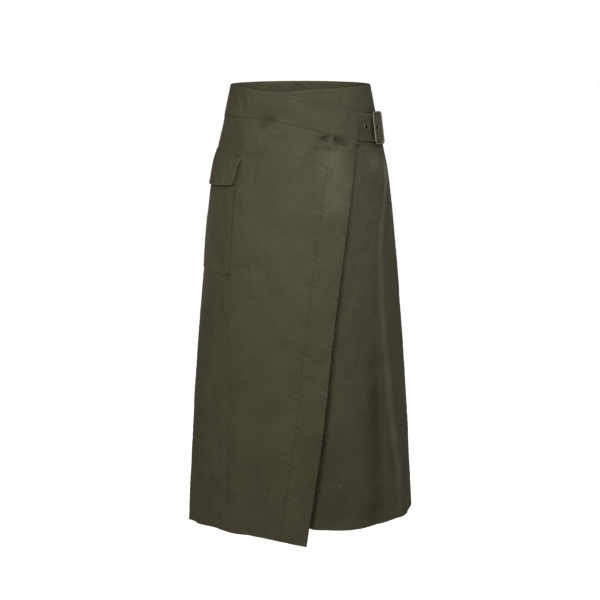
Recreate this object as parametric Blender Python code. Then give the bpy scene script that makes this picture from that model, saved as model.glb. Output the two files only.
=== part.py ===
"""A long wrap skirt in olive cotton, hollow and filled out as when it is worn, on a general figure.

The frame has +Z up and the front towards -Y. The origin is the middle of the waist, level with the
top of the waistband. A place on the garment is an angle in degrees and a drop in millimetres: angle 0
is the middle of the front, 90 the side with the buckle (+X), 180 the back and -90 the side with the
pocket (-X). The drop is how far the place lies below the top of the waistband. Every piece of cloth is
a thin wall whose points come from the same body surface, moved out.
"""

import math
from collections import namedtuple

import bmesh
import bpy
from mathutils import Matrix, Vector

MM = 0.001

# Thickness of the walls, and the room between two pieces.
PANEL_CLOTH = 1.5
BAND_CLOTH = 2.2
BAG_CLOTH = 1.1
FLAP_CLOTH = 1.5
TAB_CLOTH = 1.0
SEAM_GAP = 0.3
SEAM_HALF_ANGLE = 0.09  # half of a side seam's gap at the waist, in degrees
HEM_HALF_ANGLE = 0.2

# The upper front lies on the under front, and comes back to the body before the pocket side seam.
LAP_STAND = 3.0
LAP_LEAVES = -64.0
LAP_LIES = -32.0
LAP_EDGE_LIFT = 5.0
LAP_EDGE_REACH = 24.0
UNDER_EDGE_ACROSS = -70.0
STRAP_LEAVES = 44.0

# Buckle with a centre bar, and the strap that goes under, over and under its three bars.
BUCKLE_ANGLE = 69.5
BUCKLE_DROP = 79.0
BUCKLE_HEIGHT = 60.0
BUCKLE_WIDTH = 35.5
BUCKLE_CORNER = 4.5
BUCKLE_BAR = 1.5  # radius
CENTRE_BAR = 1.2  # radius
BUCKLE_STAND = 6.8
BUCKLE_SLOPE = 0.046  # radians that the buckle and the strap run down towards the back
BUCKLE_TILT = 0.057  # radians that they lean out at the top, from TILT_FOOT below the middle
TILT_FOOT = 25.0
STRAP_TAIL = 75.0
STRAP_BEFORE = 2.2
STRAP_OVER = 7.6
STRAP_HUMP = 15.2  # from the centre bar to where the strap is down again
STRAP_BEHIND = 2.2
STRAP_FADES = 28.0
STRAP_LEAN = 0.05  # degrees for each millimetre of drop, which squares the strap to the buckle
TAB_HEIGHT = 38.0
TAB_LENGTH = 24.0
TAB_SLOT = 8.0
TAB_SAG = 0.0058  # of the body surface below its tangent, for each millimetre squared
TAB_FAN = 0.108  # how far that surface turns back, for each millimetre up
PRONG_WIRE = 0.9  # radius
PRONG_LOOP = 300.0  # degrees that the prong's loop turns round the centre bar
PRONG_LEAVES = 155.0  # where the loop ends, in degrees from straight out

# Eyelets, and how far each lies from the centre bar.
EYELET_HOLE = 3.0
EYELET_WALL = 0.45
EYELET_FLANGE = 4.8
EYELET_LIP = 0.5
EYELET_SIDES = 20
FAR_EYELET = -30.0
NEAR_EYELET = -8.2
FAR_EYELET_ROOM = 0.35  # between the cloth and a flange
NEAR_EYELET_ROOM = 0.6

# Cargo pocket, across the side seam.
BAG_FRONT = -45.2
BAG_BACK = -120.4
BAG_TOP = 141.0
BAG_BOTTOM = 346.3
BAG_SWELL = 0.7
FLAP_FRONT = -42.6
FLAP_BACK = -123.0
FLAP_TAPER = 4.9
FLAP_CORNER = 1.0
FLAP_SWELL = 0.5
POCKET_MIDDLE = -82.8
POCKET_PRESS = 1.6

Section = namedtuple("Section", "drop half_width front_depth back_depth pinch")
SECTIONS = (
    Section(0, 127.4, 94.0, 96.0, 1.00),
    Section(70, 142.1, 102.5, 108.0, 1.00),
    Section(140, 158.7, 110.5, 121.0, 1.00),
    Section(205, 168.9, 117.5, 127.4, 1.00),
    Section(300, 178.7, 125.0, 136.0, 1.02),
    Section(420, 188.7, 134.0, 144.0, 1.06),
    Section(600, 202.6, 146.0, 154.0, 1.14),
    Section(860, 216.6, 158.0, 166.0, 1.20),
)

# A fold stands out of the body surface by its rise, or sinks in where that is negative. It starts at
# one drop and is full at another, and by the hem its angle has moved by its lean.
Fold = namedtuple("Fold", "angle lean width start full rise")
FOLDS = (
    Fold(54, 11, 7, 120, 470, 5.5),
    Fold(40, 4, 9, 300, 780, -5.0),
    Fold(24, -2, 9, 420, 840, 3.0),
    Fold(-24, -2, 6, 420, 820, -2.5),
    Fold(-33, -3, 7, 380, 820, 3.5),
    Fold(-60, 0, 6, 430, 840, 3.0),
    Fold(-76, 2, 7, 400, 820, -2.5),
    Fold(118, -4, 9, 260, 720, 6.0),
    Fold(138, 3, 9, 320, 800, -5.5),
    Fold(160, -3, 10, 280, 760, 5.5),
    Fold(187, 4, 9, 360, 820, -4.5),
    Fold(207, -2, 10, 240, 700, 6.0),
    Fold(229, 3, 8, 420, 830, -4.5),
    Fold(247, -3, 8, 400, 780, 4.0),
)

# The front edge of the wrap, across from the middle.
FrontEdge = namedtuple("FrontEdge", "drop across")
WRAP_EDGE = (
    FrontEdge(97, 104.0),
    FrontEdge(200, 91.5),
    FrontEdge(330, 76.0),
    FrontEdge(480, 57.5),
    FrontEdge(640, 41.0),
    FrontEdge(860, 9.5),
)

# Level edges and seams, by the angle round the body.
Level = namedtuple("Level", "angle drop")
LAP_BAND_TOP = (
    Level(-90, 0.0),
    Level(-54, 2.0),
    Level(-36, 6.5),
    Level(-19, 9.0),
    Level(-8, 12.5),
    Level(0, 18.0),
    Level(15, 26.0),
    Level(32, 36.0),
    Level(50, 47.5),
    Level(68, 52.0),
    Level(114, 52.5),
)
LAP_BAND_SEAM = (
    Level(-90, 59.5),
    Level(-60, 57.5),
    Level(-40, 56.8),
    Level(-25, 58.5),
    Level(-11, 64.0),
    Level(0, 70.5),
    Level(22, 85.5),
    Level(39, 95.0),
    Level(50, 99.5),
    Level(68, 102.0),
    Level(114, 102.5),
)
UNDER_BAND_TOP = (
    Level(-34, 15.0),
    Level(-20, 8.0),
    Level(-12, 2.5),
    Level(-2, 0.0),
    Level(30, 0.0),
    Level(90, 0.0),
)
UNDER_BAND_SEAM = (
    Level(-34, 88.0),
    Level(20, 99.0),
    Level(43, 105.5),
    Level(66, 111.5),
    Level(90, 113.5),
)
BACK_BAND_SEAM = (Level(90, 113.5), Level(135, 101.0), Level(180, 84.0), Level(225, 68.0), Level(270, 59.5))
LAP_HEM = (
    Level(-90, 842.0),
    Level(-75, 838.0),
    Level(-60, 832.5),
    Level(-45, 829.5),
    Level(-25, 831.5),
    Level(-12, 835.5),
    Level(0, 842.5),
    Level(8, 848.5),
)
UNDER_HEM = (
    Level(-34, 810.0),
    Level(4, 814.5),
    Level(25, 819.5),
    Level(45, 819.0),
    Level(67, 816.5),
    Level(90, 817.5),
)
BACK_HEM = (Level(90, 817.5), Level(135, 816.0), Level(180, 824.0), Level(225, 836.0), Level(270, 842.0))
BAG_HEM = (Level(-120.4, 346.3), Level(-108, 343.7), Level(-83, 342.5), Level(-57, 343.7), Level(-45.2, 346.3))
FLAP_TOP = (Level(-123, 130.1), Level(-104, 122.2), Level(-82.8, 119.5), Level(-61, 122.2), Level(-42.6, 130.1))
FLAP_HEM = (Level(-118, 179.0), Level(-108, 180.8), Level(-82.8, 184.5), Level(-57.4, 180.8), Level(-47.5, 179.0))

# How finely the pieces are divided.
PANEL_ROWS = 20
STRAP_COLUMNS_AT_BUCKLE = 14


def mix(first, second, share):
    return first + (second - first) * share


def steps(first, last, count):
    return [mix(first, last, number / count) for number in range(count + 1)]


def ease(share):
    """0 before 0, 1 after 1, and a smooth rise between them."""
    share = min(max(share, 0.0), 1.0)
    return share * share * (3 - 2 * share)


def follow(rows, place, column="drop"):
    """The value of a column, on a smooth curve through the table's rows, at a place in its first column."""
    last = len(rows) - 1
    place = min(max(place, rows[0][0]), rows[last][0])
    start = max(number for number in range(last) if rows[number][0] <= place)

    def slope(number):
        before = rows[max(number - 1, 0)]
        after = rows[min(number + 1, last)]
        return (getattr(after, column) - getattr(before, column)) / (after[0] - before[0])

    span = rows[start + 1][0] - rows[start][0]
    share = (place - rows[start][0]) / span
    rise = getattr(rows[start + 1], column) - getattr(rows[start], column)
    first_slope = slope(start) * span
    last_slope = slope(start + 1) * span
    return (
        getattr(rows[start], column)
        + first_slope * share
        + (3 * rise - 2 * first_slope - last_slope) * share**2
        + (first_slope + last_slope - 2 * rise) * share**3
    )


def fold_rise(angle, drop):
    rise = 0.0
    for fold in FOLDS:
        lean = fold.lean * drop / SECTIONS[-1].drop
        apart = (angle - fold.angle - lean + 180) % 360 - 180
        grown = ease((drop - fold.start) / (fold.full - fold.start))
        rise += fold.rise * grown * math.exp(-((apart / fold.width) ** 2))
    return rise


def pocket_press(angle, drop):
    """How far the doubled cloth of the pocket presses in on the hip."""
    apart = (angle - POCKET_MIDDLE + 180) % 360 - 180
    grown = ease((drop - 60) / 110) * ease((470 - drop) / 140)
    return POCKET_PRESS * grown * math.exp(-((apart / 38) ** 2))


def skin(angle, drop, out):
    """A point in metres, this far out of the body surface."""
    turn = math.radians(angle)
    sine = math.sin(turn)
    cosine = math.cos(turn)
    half_width = follow(SECTIONS, drop, "half_width")
    depth = follow(SECTIONS, drop, "front_depth" if cosine > 0 else "back_depth")
    pinched = math.copysign(abs(cosine) ** follow(SECTIONS, drop, "pinch"), cosine)
    outward = Vector((depth * sine, -half_width * cosine, 0)).normalized()
    foot = Vector((half_width * sine, -depth * pinched, -drop))
    away = out + fold_rise(angle, drop) - pocket_press(angle, drop)
    return (foot + outward * away) * MM


def angle_of(across, drop):
    """The front angle of a line that lies this far across from the middle."""
    return math.degrees(math.asin(across / follow(SECTIONS, drop, "half_width")))


def wrap_edge(drop):
    return angle_of(follow(WRAP_EDGE, drop, "across"), drop)


def under_edge(drop):
    return angle_of(UNDER_EDGE_ACROSS, drop)


def lap_stand(angle, drop):
    """How far the inner face of the upper front lies out of the body surface."""
    stand = LAP_STAND * ease((angle - LAP_LEAVES) / (LAP_LIES - LAP_LEAVES))
    if -90 < angle < 90:
        near_edge = ease(1 - (wrap_edge(max(drop, WRAP_EDGE[0].drop)) - angle) / LAP_EDGE_REACH)
        stand += LAP_EDGE_LIFT * near_edge * ease((drop - WRAP_EDGE[0].drop) / 420)
    return stand


def between(across, down, left, right, top, bottom):
    """The angle and drop of a place in a piece, from its four edges. The sides follow the drop."""
    drop = mix(0, SECTIONS[-1].drop, down)
    for _ in range(8):
        angle = mix(left(drop), right(drop), across)
        drop = mix(top(angle), bottom(angle), down)
    return angle, drop


def colour_material(name, colour, roughness, metallic=0.0):
    material = bpy.data.materials.new(name)
    material.use_nodes = True
    shader = material.node_tree.nodes["Principled BSDF"]
    shader.inputs["Base Color"].default_value = (*colour, 1)
    shader.inputs["Roughness"].default_value = roughness
    shader.inputs["Metallic"].default_value = metallic
    return material


def add_object(name, vertices, faces, material):
    mesh = bpy.data.meshes.new(name)
    mesh.from_pydata(vertices, [], faces)
    shape = bmesh.new()
    shape.from_mesh(mesh)
    bmesh.ops.recalc_face_normals(shape, faces=shape.faces)
    shape.to_mesh(mesh)
    shape.free()
    mesh.materials.append(material)
    mesh.shade_smooth()
    mesh.set_sharp_from_angle(angle=math.radians(40))
    piece = bpy.data.objects.new(name, mesh)
    bpy.context.collection.objects.link(piece)
    return piece


def cloth(name, columns, rows, spot, thickness, material):
    """A closed wall. spot(across, down) gives the angle, the drop and how far out the inner face lies."""
    vertices = []
    for extra in (0, thickness):
        for down in rows:
            for across in columns:
                angle, drop, out = spot(across, down)
                vertices.append(skin(angle, drop, out + extra))
    wide = len(columns)
    layer = wide * len(rows)
    faces = []
    for row in range(len(rows) - 1):
        for column in range(wide - 1):
            corner = row * wide + column
            quad = (corner, corner + 1, corner + wide + 1, corner + wide)
            faces.append(quad)
            faces.append(tuple(layer + number for number in reversed(quad)))
    top = list(range(wide))
    right = list(range(wide - 1, layer, wide))
    bottom = list(range(layer - 1, layer - wide - 1, -1))
    left = list(range(layer - wide, -1, -wide))
    for side in (top, right, bottom, left):
        for first, second in zip(side, side[1:]):
            faces.append((first, first + layer, second + layer, second))
    return add_object(name, vertices, faces, material)


def sweep(name, path, ring, across, material, closed=False):
    """A bar along a path. Each ring point is (sideways, across): across is a fixed direction in space."""
    vertices = []
    count = len(path)
    for number, centre in enumerate(path):
        before = path[number - 1] if closed or number else centre
        after = path[(number + 1) % count] if closed or number < count - 1 else centre
        sideways = (after - before).normalized().cross(across)
        for side, along in ring:
            vertices.append((centre + sideways * side + across * along) * MM)
    sides = len(ring)
    faces = []
    for number in range(count if closed else count - 1):
        for side in range(sides):
            first = number * sides + side
            second = number * sides + (side + 1) % sides
            onward = ((number + 1) % count - number) * sides
            faces.append((first, second, second + onward, first + onward))
    if not closed:
        faces.append(tuple(range(sides)))
        faces.append(tuple(range(len(vertices) - sides, len(vertices))))
    return add_object(name, vertices, faces, material)


def circle(radius, sides):
    return [
        (radius * math.cos(2 * math.pi * side / sides), radius * math.sin(2 * math.pi * side / sides))
        for side in range(sides)
    ]


def buckle_place():
    """The buckle's own frame, with x along the strap towards the back, y up and z out."""
    foot = skin(BUCKLE_ANGLE, BUCKLE_DROP, BAND_CLOTH)
    along = skin(BUCKLE_ANGLE + 1, BUCKLE_DROP, 0) - skin(BUCKLE_ANGLE - 1, BUCKLE_DROP, 0)
    up = skin(BUCKLE_ANGLE, BUCKLE_DROP - 1, 0) - skin(BUCKLE_ANGLE, BUCKLE_DROP + 1, 0)
    along.normalize()
    out = along.cross(up).normalized()
    up = out.cross(along)
    level = Matrix((along, up, out)).transposed().to_4x4()
    leaning = Matrix.Rotation(-BUCKLE_SLOPE, 4, "Z") @ Matrix.Rotation(BUCKLE_TILT, 4, "X")
    return Matrix.Translation(foot + out * (BUCKLE_TILT * TILT_FOOT * MM)) @ level @ leaning


def strap_angle(along):
    """The angle of a place on the strap, this far along it from the centre bar, towards the back."""
    step = skin(BUCKLE_ANGLE + 0.5, BUCKLE_DROP, 0) - skin(BUCKLE_ANGLE - 0.5, BUCKLE_DROP, 0)
    return BUCKLE_ANGLE + along / (step.length / MM)


def half_window():
    """From the middle of the centre bar to the middle of a side bar."""
    return BUCKLE_WIDTH / 2 - BUCKLE_BAR


def strap_stand(angle):
    """How far out the strap's inner face lies: it goes under, over and under the bars of the buckle."""
    along = (angle - BUCKLE_ANGLE) / (strap_angle(1) - BUCKLE_ANGLE)
    stand = lap_stand(min(angle, STRAP_LEAVES), WRAP_EDGE[0].drop)
    if along < 0:
        held = 1 - ease((-along - half_window()) / STRAP_FADES)
        stand += STRAP_BEFORE * held
    else:
        held = 1 - ease((along - TAB_LENGTH - 2) / STRAP_FADES)
        stand += mix(STRAP_BEFORE, STRAP_BEHIND, ease(along / STRAP_HUMP)) * held
    if abs(along) < STRAP_HUMP:
        stand += STRAP_OVER * (1 + math.cos(math.pi * along / STRAP_HUMP)) / 2
    return stand, held


def strap_spot(angle, down):
    """A place on the overlap's band, or on the strap that it runs on into, which is square to the buckle."""
    drop = mix(follow(LAP_BAND_TOP, angle), follow(LAP_BAND_SEAM, angle), down)
    squared = ease((angle - STRAP_LEAVES) / (strap_angle(-half_window()) - STRAP_LEAVES))
    stand, held = strap_stand(angle)
    stand += BUCKLE_TILT * held * (BUCKLE_DROP + TILT_FOOT - drop)
    return angle + STRAP_LEAN * squared * (BUCKLE_DROP - drop), drop, stand


def side_seam(angle, towards):
    """The edge of a piece at a side seam, half of the seam's gap from it."""
    return lambda drop: angle + towards * mix(SEAM_HALF_ANGLE, HEM_HALF_ANGLE, drop / SECTIONS[-1].drop)


def make_panels(twill):
    def lap_spot(across, down):
        angle, drop = between(
            across,
            down,
            side_seam(-90, 1),
            wrap_edge,
            lambda angle: follow(LAP_BAND_SEAM, angle) + SEAM_GAP,
            lambda angle: follow(LAP_HEM, angle),
        )
        return angle, drop, lap_stand(angle, drop)

    def under_spot(across, down):
        angle, drop = between(
            across,
            down,
            under_edge,
            side_seam(90, -1),
            lambda angle: follow(UNDER_BAND_SEAM, angle) + SEAM_GAP,
            lambda angle: follow(UNDER_HEM, angle),
        )
        return angle, drop, 0

    def back_spot(across, down):
        angle, drop = between(
            across,
            down,
            side_seam(90, 1),
            side_seam(270, -1),
            lambda angle: follow(BACK_BAND_SEAM, angle) + SEAM_GAP,
            lambda angle: follow(BACK_HEM, angle),
        )
        return angle, drop, 0

    rows = steps(0, 1, PANEL_ROWS)
    cloth("front_overlap", steps(0, 1, 22), rows, lap_spot, PANEL_CLOTH, twill)
    cloth("front_underlap", steps(0, 1, 19), rows, under_spot, PANEL_CLOTH, twill)
    cloth("back_panel", steps(0, 1, 28), rows, back_spot, PANEL_CLOTH, twill)


def make_waistbands(twill):
    """The overlap's band runs on as the strap, with a hole for each eyelet."""

    def under_spot(across, down):
        angle, drop = between(
            across,
            down,
            under_edge,
            side_seam(90, -1),
            lambda angle: follow(UNDER_BAND_TOP, angle),
            lambda angle: follow(UNDER_BAND_SEAM, angle),
        )
        return angle, drop, 0

    def back_spot(across, down):
        angle, drop = between(
            across,
            down,
            side_seam(90, 1),
            side_seam(270, -1),
            lambda angle: 0,
            lambda angle: follow(BACK_BAND_SEAM, angle),
        )
        return angle, drop, 0

    window = half_window()
    strap_start = strap_angle(-window)
    strap_columns = steps(-90 + SEAM_HALF_ANGLE, STRAP_LEAVES, 24)
    strap_columns += steps(STRAP_LEAVES, strap_start, 8)[1:]
    strap_columns += steps(strap_start, strap_angle(window), STRAP_COLUMNS_AT_BUCKLE)[1:]
    strap_columns += steps(strap_angle(window), strap_angle(STRAP_TAIL), 9)[1:]
    strap = cloth("waistband_overlap", strap_columns, steps(0, 1, 3), strap_spot, BAND_CLOTH, twill)
    for number, along in enumerate((FAR_EYELET, NEAR_EYELET), 1):
        cut_eyelet_hole(strap, number, along)
    cloth("waistband_underlap", steps(0, 1, 20), steps(0, 1, 3), under_spot, BAND_CLOTH, twill)
    cloth("waistband_back", steps(0, 1, 28), steps(0, 1, 2), back_spot, BAND_CLOTH, twill)


def eyelet_place(along):
    """The middle of the strap's wall at an eyelet, and the direction straight out of the wall."""

    def middle(place, down):
        angle, drop, out = strap_spot(strap_angle(place), down)
        return skin(angle, drop, out + BAND_CLOTH / 2)

    onward = middle(along + 1.5, 0.5) - middle(along - 1.5, 0.5)
    up = middle(along, 0.45) - middle(along, 0.55)
    return middle(along, 0.5), onward.cross(up).normalized()


def cut_eyelet_hole(strap, number, along):
    centre, out = eyelet_place(along)
    mesh = bpy.data.meshes.new(f"eyelet_hole_{number}")
    shape = bmesh.new()
    radius = (EYELET_HOLE + EYELET_WALL + SEAM_GAP) * MM
    bmesh.ops.create_cone(
        shape,
        cap_ends=True,
        segments=EYELET_SIDES,
        radius1=radius,
        radius2=radius,
        depth=4 * BAND_CLOTH * MM,
    )
    shape.to_mesh(mesh)
    shape.free()
    cutter = bpy.data.objects.new(mesh.name, mesh)
    bpy.context.collection.objects.link(cutter)
    cutter.matrix_world = Matrix.Translation(centre) @ out.to_track_quat("Z", "Y").to_matrix().to_4x4()
    cutter.hide_render = True
    cutter.display_type = "WIRE"
    cut = strap.modifiers.new(cutter.name, "BOOLEAN")
    cut.object = cutter
    cut.operation = "DIFFERENCE"
    cut.solver = "EXACT"


def make_eyelet(name, along, room, metal):
    """A turned ring: a barrel through the cloth and a flange on each face."""
    inner = EYELET_HOLE
    barrel = EYELET_HOLE + EYELET_WALL
    face = BAND_CLOTH / 2 + room
    outside = face + EYELET_LIP
    profile = (
        (inner, -outside),
        (EYELET_FLANGE, -outside),
        (EYELET_FLANGE, -face),
        (barrel, -face),
        (barrel, face),
        (EYELET_FLANGE, face),
        (EYELET_FLANGE, outside),
        (inner, outside),
    )
    vertices = []
    for radial_x, radial_y in circle(1, EYELET_SIDES):
        vertices += [Vector((radius * radial_x, radius * radial_y, level)) * MM for radius, level in profile]
    faces = []
    corners = len(profile)
    for side in range(EYELET_SIDES):
        start = side * corners
        onward = (side + 1) % EYELET_SIDES * corners
        for corner in range(corners):
            following = (corner + 1) % corners
            faces.append((start + corner, onward + corner, onward + following, start + following))
    eyelet = add_object(name, vertices, faces, metal)
    centre, out = eyelet_place(along)
    eyelet.matrix_world = Matrix.Translation(centre) @ out.to_track_quat("Z", "Y").to_matrix().to_4x4()


def make_buckle(metal, twill):
    """The frame with its centre bar, the prong that is looped on the bar, and the tab that holds the bar."""
    out = Vector((0, 0, 1))
    up = Vector((0, 1, 0))
    half_wide = half_window()
    half_tall = BUCKLE_HEIGHT / 2 - BUCKLE_BAR
    path = []
    for quarter in range(4):
        middle = 90 * quarter + 45
        corner_x = math.copysign(half_wide - BUCKLE_CORNER, math.cos(math.radians(middle)))
        corner_y = math.copysign(half_tall - BUCKLE_CORNER, math.sin(math.radians(middle)))
        for turn in steps(90 * quarter, 90 * quarter + 90, 5):
            round_x = BUCKLE_CORNER * math.cos(math.radians(turn))
            round_y = BUCKLE_CORNER * math.sin(math.radians(turn))
            path.append(Vector((corner_x + round_x, corner_y + round_y, BUCKLE_STAND)))
    frame = sweep("buckle_frame", path, circle(BUCKLE_BAR, 12), out, metal, closed=True)
    bar_path = [Vector((0, end * half_tall, BUCKLE_STAND)) for end in (-1, 1)]
    bar = sweep("centre_bar", bar_path, circle(CENTRE_BAR, 12), out, metal)
    bar.hide_render = True
    bar.display_type = "WIRE"
    join = frame.modifiers.new("centre bar", "BOOLEAN")
    join.object = bar
    join.operation = "UNION"
    join.solver = "EXACT"

    loop = CENTRE_BAR + SEAM_GAP + PRONG_WIRE
    prong_path = []
    for turn in steps(PRONG_LEAVES + PRONG_LOOP, PRONG_LEAVES, 20):
        across = -loop * math.sin(math.radians(turn))
        prong_path.append(Vector((across, 0, BUCKLE_STAND + loop * math.cos(math.radians(turn)))))
    hole = buckle_place().inverted() @ eyelet_place(NEAR_EYELET)[0] / MM
    last = prong_path[-1]
    over_bar = BUCKLE_STAND + BUCKLE_BAR + SEAM_GAP + PRONG_WIRE
    for across, level in (
        (mix(last.x, hole.x, 0.5), mix(last.z, hole.z, 0.5)),
        (hole.x, hole.z),
        (hole.x - 2.9, mix(hole.z, over_bar, 0.75)),
        (2.3 - half_wide, over_bar + 0.15),
        (-half_wide, over_bar),
        (-half_wide - 2.6, over_bar - 0.5),
    ):
        prong_path.append(Vector((across, 0, level)))
    prong = sweep("buckle_prong", prong_path, circle(PRONG_WIRE, 8), up, metal)

    tab = make_tab(twill)
    for piece in (frame, bar, prong, tab):
        piece.matrix_world = buckle_place()


def make_tab(twill):
    """A strip folded round the centre bar, with a slot for the prong, and sewn down behind it."""
    lower = 2.6 * SEAM_GAP + TAB_CLOTH / 2
    upper = lower + TAB_CLOTH + SEAM_GAP
    wrap = CENTRE_BAR + SEAM_GAP + TAB_CLOTH / 2
    path = [Vector((along, 0, lower - TAB_SAG * along**2)) for along in (TAB_LENGTH, 20, 15, 10)]
    path.append(Vector((5.0, 0, lower + 0.9)))
    for turn in steps(195, 375, 10):
        across = wrap * math.sin(math.radians(turn))
        path.append(Vector((across, 0, BUCKLE_STAND + wrap * math.cos(math.radians(turn)))))
    path.append(Vector((3.6, 0, BUCKLE_STAND + 0.7)))
    path.append(Vector((7.2, 0, upper + 1.0)))
    path += [Vector((along, 0, upper - TAB_SAG * along**2)) for along in (11, 15, 20, TAB_LENGTH)]
    slot_first = 3
    slot_last = len(path) - 5
    half = TAB_HEIGHT / 2
    levels = (-half, -TAB_SLOT / 2, TAB_SLOT / 2, half)
    vertices = []
    for number, centre in enumerate(path):
        before = path[max(number - 1, 0)]
        after = path[min(number + 1, len(path) - 1)]
        sideways = (after - before).normalized().cross(Vector((0, 1, 0)))
        for side in (-TAB_CLOTH / 2, TAB_CLOTH / 2):
            for level in levels:
                fanned = TAB_SAG * ((centre.x + TAB_FAN * level) ** 2 - centre.x**2)
                sewn_down = (BUCKLE_TILT * (TILT_FOOT + level) + fanned) * ease(centre.x / 9)
                vertices.append((centre + sideways * side + Vector((0, level, -sewn_down))) * MM)
    wide = len(levels)
    layer = 2 * wide
    faces = []

    def is_open(number, column):
        inside = 0 <= number < len(path) - 1 and 0 <= column < wide - 1
        return not inside or (column == 1 and slot_first <= number < slot_last)

    for number in range(len(path) - 1):
        for column in range(wide - 1):
            if is_open(number, column):
                continue
            first = number * layer + column
            second = first + layer
            faces.append((first, first + 1, second + 1, second))
            faces.append((first + wide, second + wide, second + wide + 1, first + wide + 1))
            if is_open(number, column - 1):
                faces.append((first, second, second + wide, first + wide))
            if is_open(number, column + 1):
                faces.append((first + 1, first + wide + 1, second + wide + 1, second + 1))
            if is_open(number - 1, column):
                faces.append((first, first + wide, first + wide + 1, first + 1))
            if is_open(number + 1, column):
                faces.append((second, second + 1, second + wide + 1, second + wide))
    return add_object("buckle_tab", vertices, faces, twill)


def bag_swell(angle, drop):
    """How far the bag's wall stands off the panel: closed at its sides and bottom, open at its mouth."""
    across = (angle - BAG_BACK) / (BAG_FRONT - BAG_BACK)
    down = (drop - BAG_TOP) / (BAG_BOTTOM - BAG_TOP)
    sides = ease(min(across, 1 - across) / 0.16)
    return BAG_SWELL * sides * ease((1 - down) / 0.3)


def make_pocket(twill):
    def on_panel(angle, drop):
        return lap_stand(angle, drop) + PANEL_CLOTH + SEAM_GAP

    def bag_spot(angle, down):
        drop = mix(BAG_TOP, follow(BAG_HEM, angle), down)
        return angle, drop, on_panel(angle, drop) + bag_swell(angle, drop)

    def flap_spot(across, down):
        taper = FLAP_TAPER * down
        angle = mix(FLAP_BACK + taper, FLAP_FRONT - taper, across)
        top = follow(FLAP_TOP, angle)
        edge = follow(FLAP_HEM, angle)
        from_side = min(across, 1 - across) * (FLAP_FRONT - FLAP_BACK)
        edge -= FLAP_CORNER * (1 - ease(from_side / 4)) * ease(down)
        drop = mix(top, edge, down)
        over_bag = ease((drop - top) / (BAG_TOP - top))
        clear = BAG_CLOTH + 2.4 * SEAM_GAP + bag_swell(angle, BAG_TOP) + FLAP_SWELL * ease((down - 0.3) / 0.7)
        return angle, drop, on_panel(angle, drop) + over_bag * clear

    bag_columns = steps(BAG_BACK, BAG_FRONT, 16)
    cloth("cargo_pocket", bag_columns, steps(0, 1, 9), bag_spot, BAG_CLOTH, twill)
    cloth("cargo_flap", steps(0, 1, 18), steps(0, 1, 7), flap_spot, FLAP_CLOTH, twill)


def main():
    for leftover in list(bpy.data.objects):
        bpy.data.objects.remove(leftover)
    twill = colour_material("olive cotton twill", (0.078, 0.074, 0.047), 0.82)
    metal = colour_material("dark nickel-plated zinc", (0.16, 0.155, 0.14), 0.34, metallic=1.0)
    make_panels(twill)
    make_waistbands(twill)
    make_pocket(twill)
    make_buckle(metal, twill)
    make_eyelet("eyelet_1", FAR_EYELET, FAR_EYELET_ROOM, metal)
    make_eyelet("eyelet_2", NEAR_EYELET, NEAR_EYELET_ROOM, metal)


main()
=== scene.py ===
"""A long wrap skirt in washed olive twill, hollow and filled out as when it is worn.

The frame has +Z up and the front towards -Y. The origin is the middle of the waist, level with the top of
the waistband. A place on the garment is an angle in degrees and a drop in millimetres: angle 0 is the
middle of the front, 90 the side with the buckle (+X), 180 the back and -90 the side with the pocket (-X).
Every piece of cloth is a thin shell whose points come from one body surface, moved out.
"""

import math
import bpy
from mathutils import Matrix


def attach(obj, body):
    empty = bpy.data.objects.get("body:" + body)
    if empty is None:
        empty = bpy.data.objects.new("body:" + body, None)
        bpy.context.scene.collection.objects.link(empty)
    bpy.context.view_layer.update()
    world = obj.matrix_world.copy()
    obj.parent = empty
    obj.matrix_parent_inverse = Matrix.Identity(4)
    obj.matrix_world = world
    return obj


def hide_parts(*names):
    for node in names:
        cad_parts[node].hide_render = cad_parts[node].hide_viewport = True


bl_info = {
    "name": "Cargo Wrap Skirt",
    "version": (1, 0, 0),
    "blender": (4, 5, 0),
    "location": "View3D > Sidebar > Skirt",
    "description": "Builds a buckled cotton wrap skirt with a cargo pocket round its packed solids",
    "category": "Object",
}

from collections import namedtuple
from functools import partial

import bmesh
import bpy
import numpy as np
from mathutils import Matrix, Vector

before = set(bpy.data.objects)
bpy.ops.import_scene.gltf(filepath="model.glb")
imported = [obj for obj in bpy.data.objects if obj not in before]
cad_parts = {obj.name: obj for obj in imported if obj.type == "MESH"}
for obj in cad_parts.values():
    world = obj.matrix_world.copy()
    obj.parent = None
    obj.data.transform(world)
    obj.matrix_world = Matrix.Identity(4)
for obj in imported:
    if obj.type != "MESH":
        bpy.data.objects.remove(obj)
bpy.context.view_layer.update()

MM = 0.001
BODY = "root"

# Thickness of the cloth, and the room between two pieces.
PANEL_CLOTH = 1.5
BAND_CLOTH = 2.2
BAG_CLOTH = 1.1
FLAP_CLOTH = 1.5
TAB_CLOTH = 1.0
SEAM_GAP = 0.3
SEAM_LAP = 0.03  # the pieces press together at the side seams, by this angle

# The upper front lies on the under front, and comes back to the body between these angles, before the
# pocket side seam.
LAP_STAND = 3.0
LAP_LEAVES = -64.0
LAP_LIES = -32.0
LAP_EDGE_LIFT = 5.0
LAP_EDGE_REACH = 24.0
UNDER_EDGE_ACROSS = -70.0
UNDER_HOLLOW = (5.0, 7.5)  # how far the under front sinks beside the wrap's edge, at the top and at the hem
STRAP_LEAVES = 44.0

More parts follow.
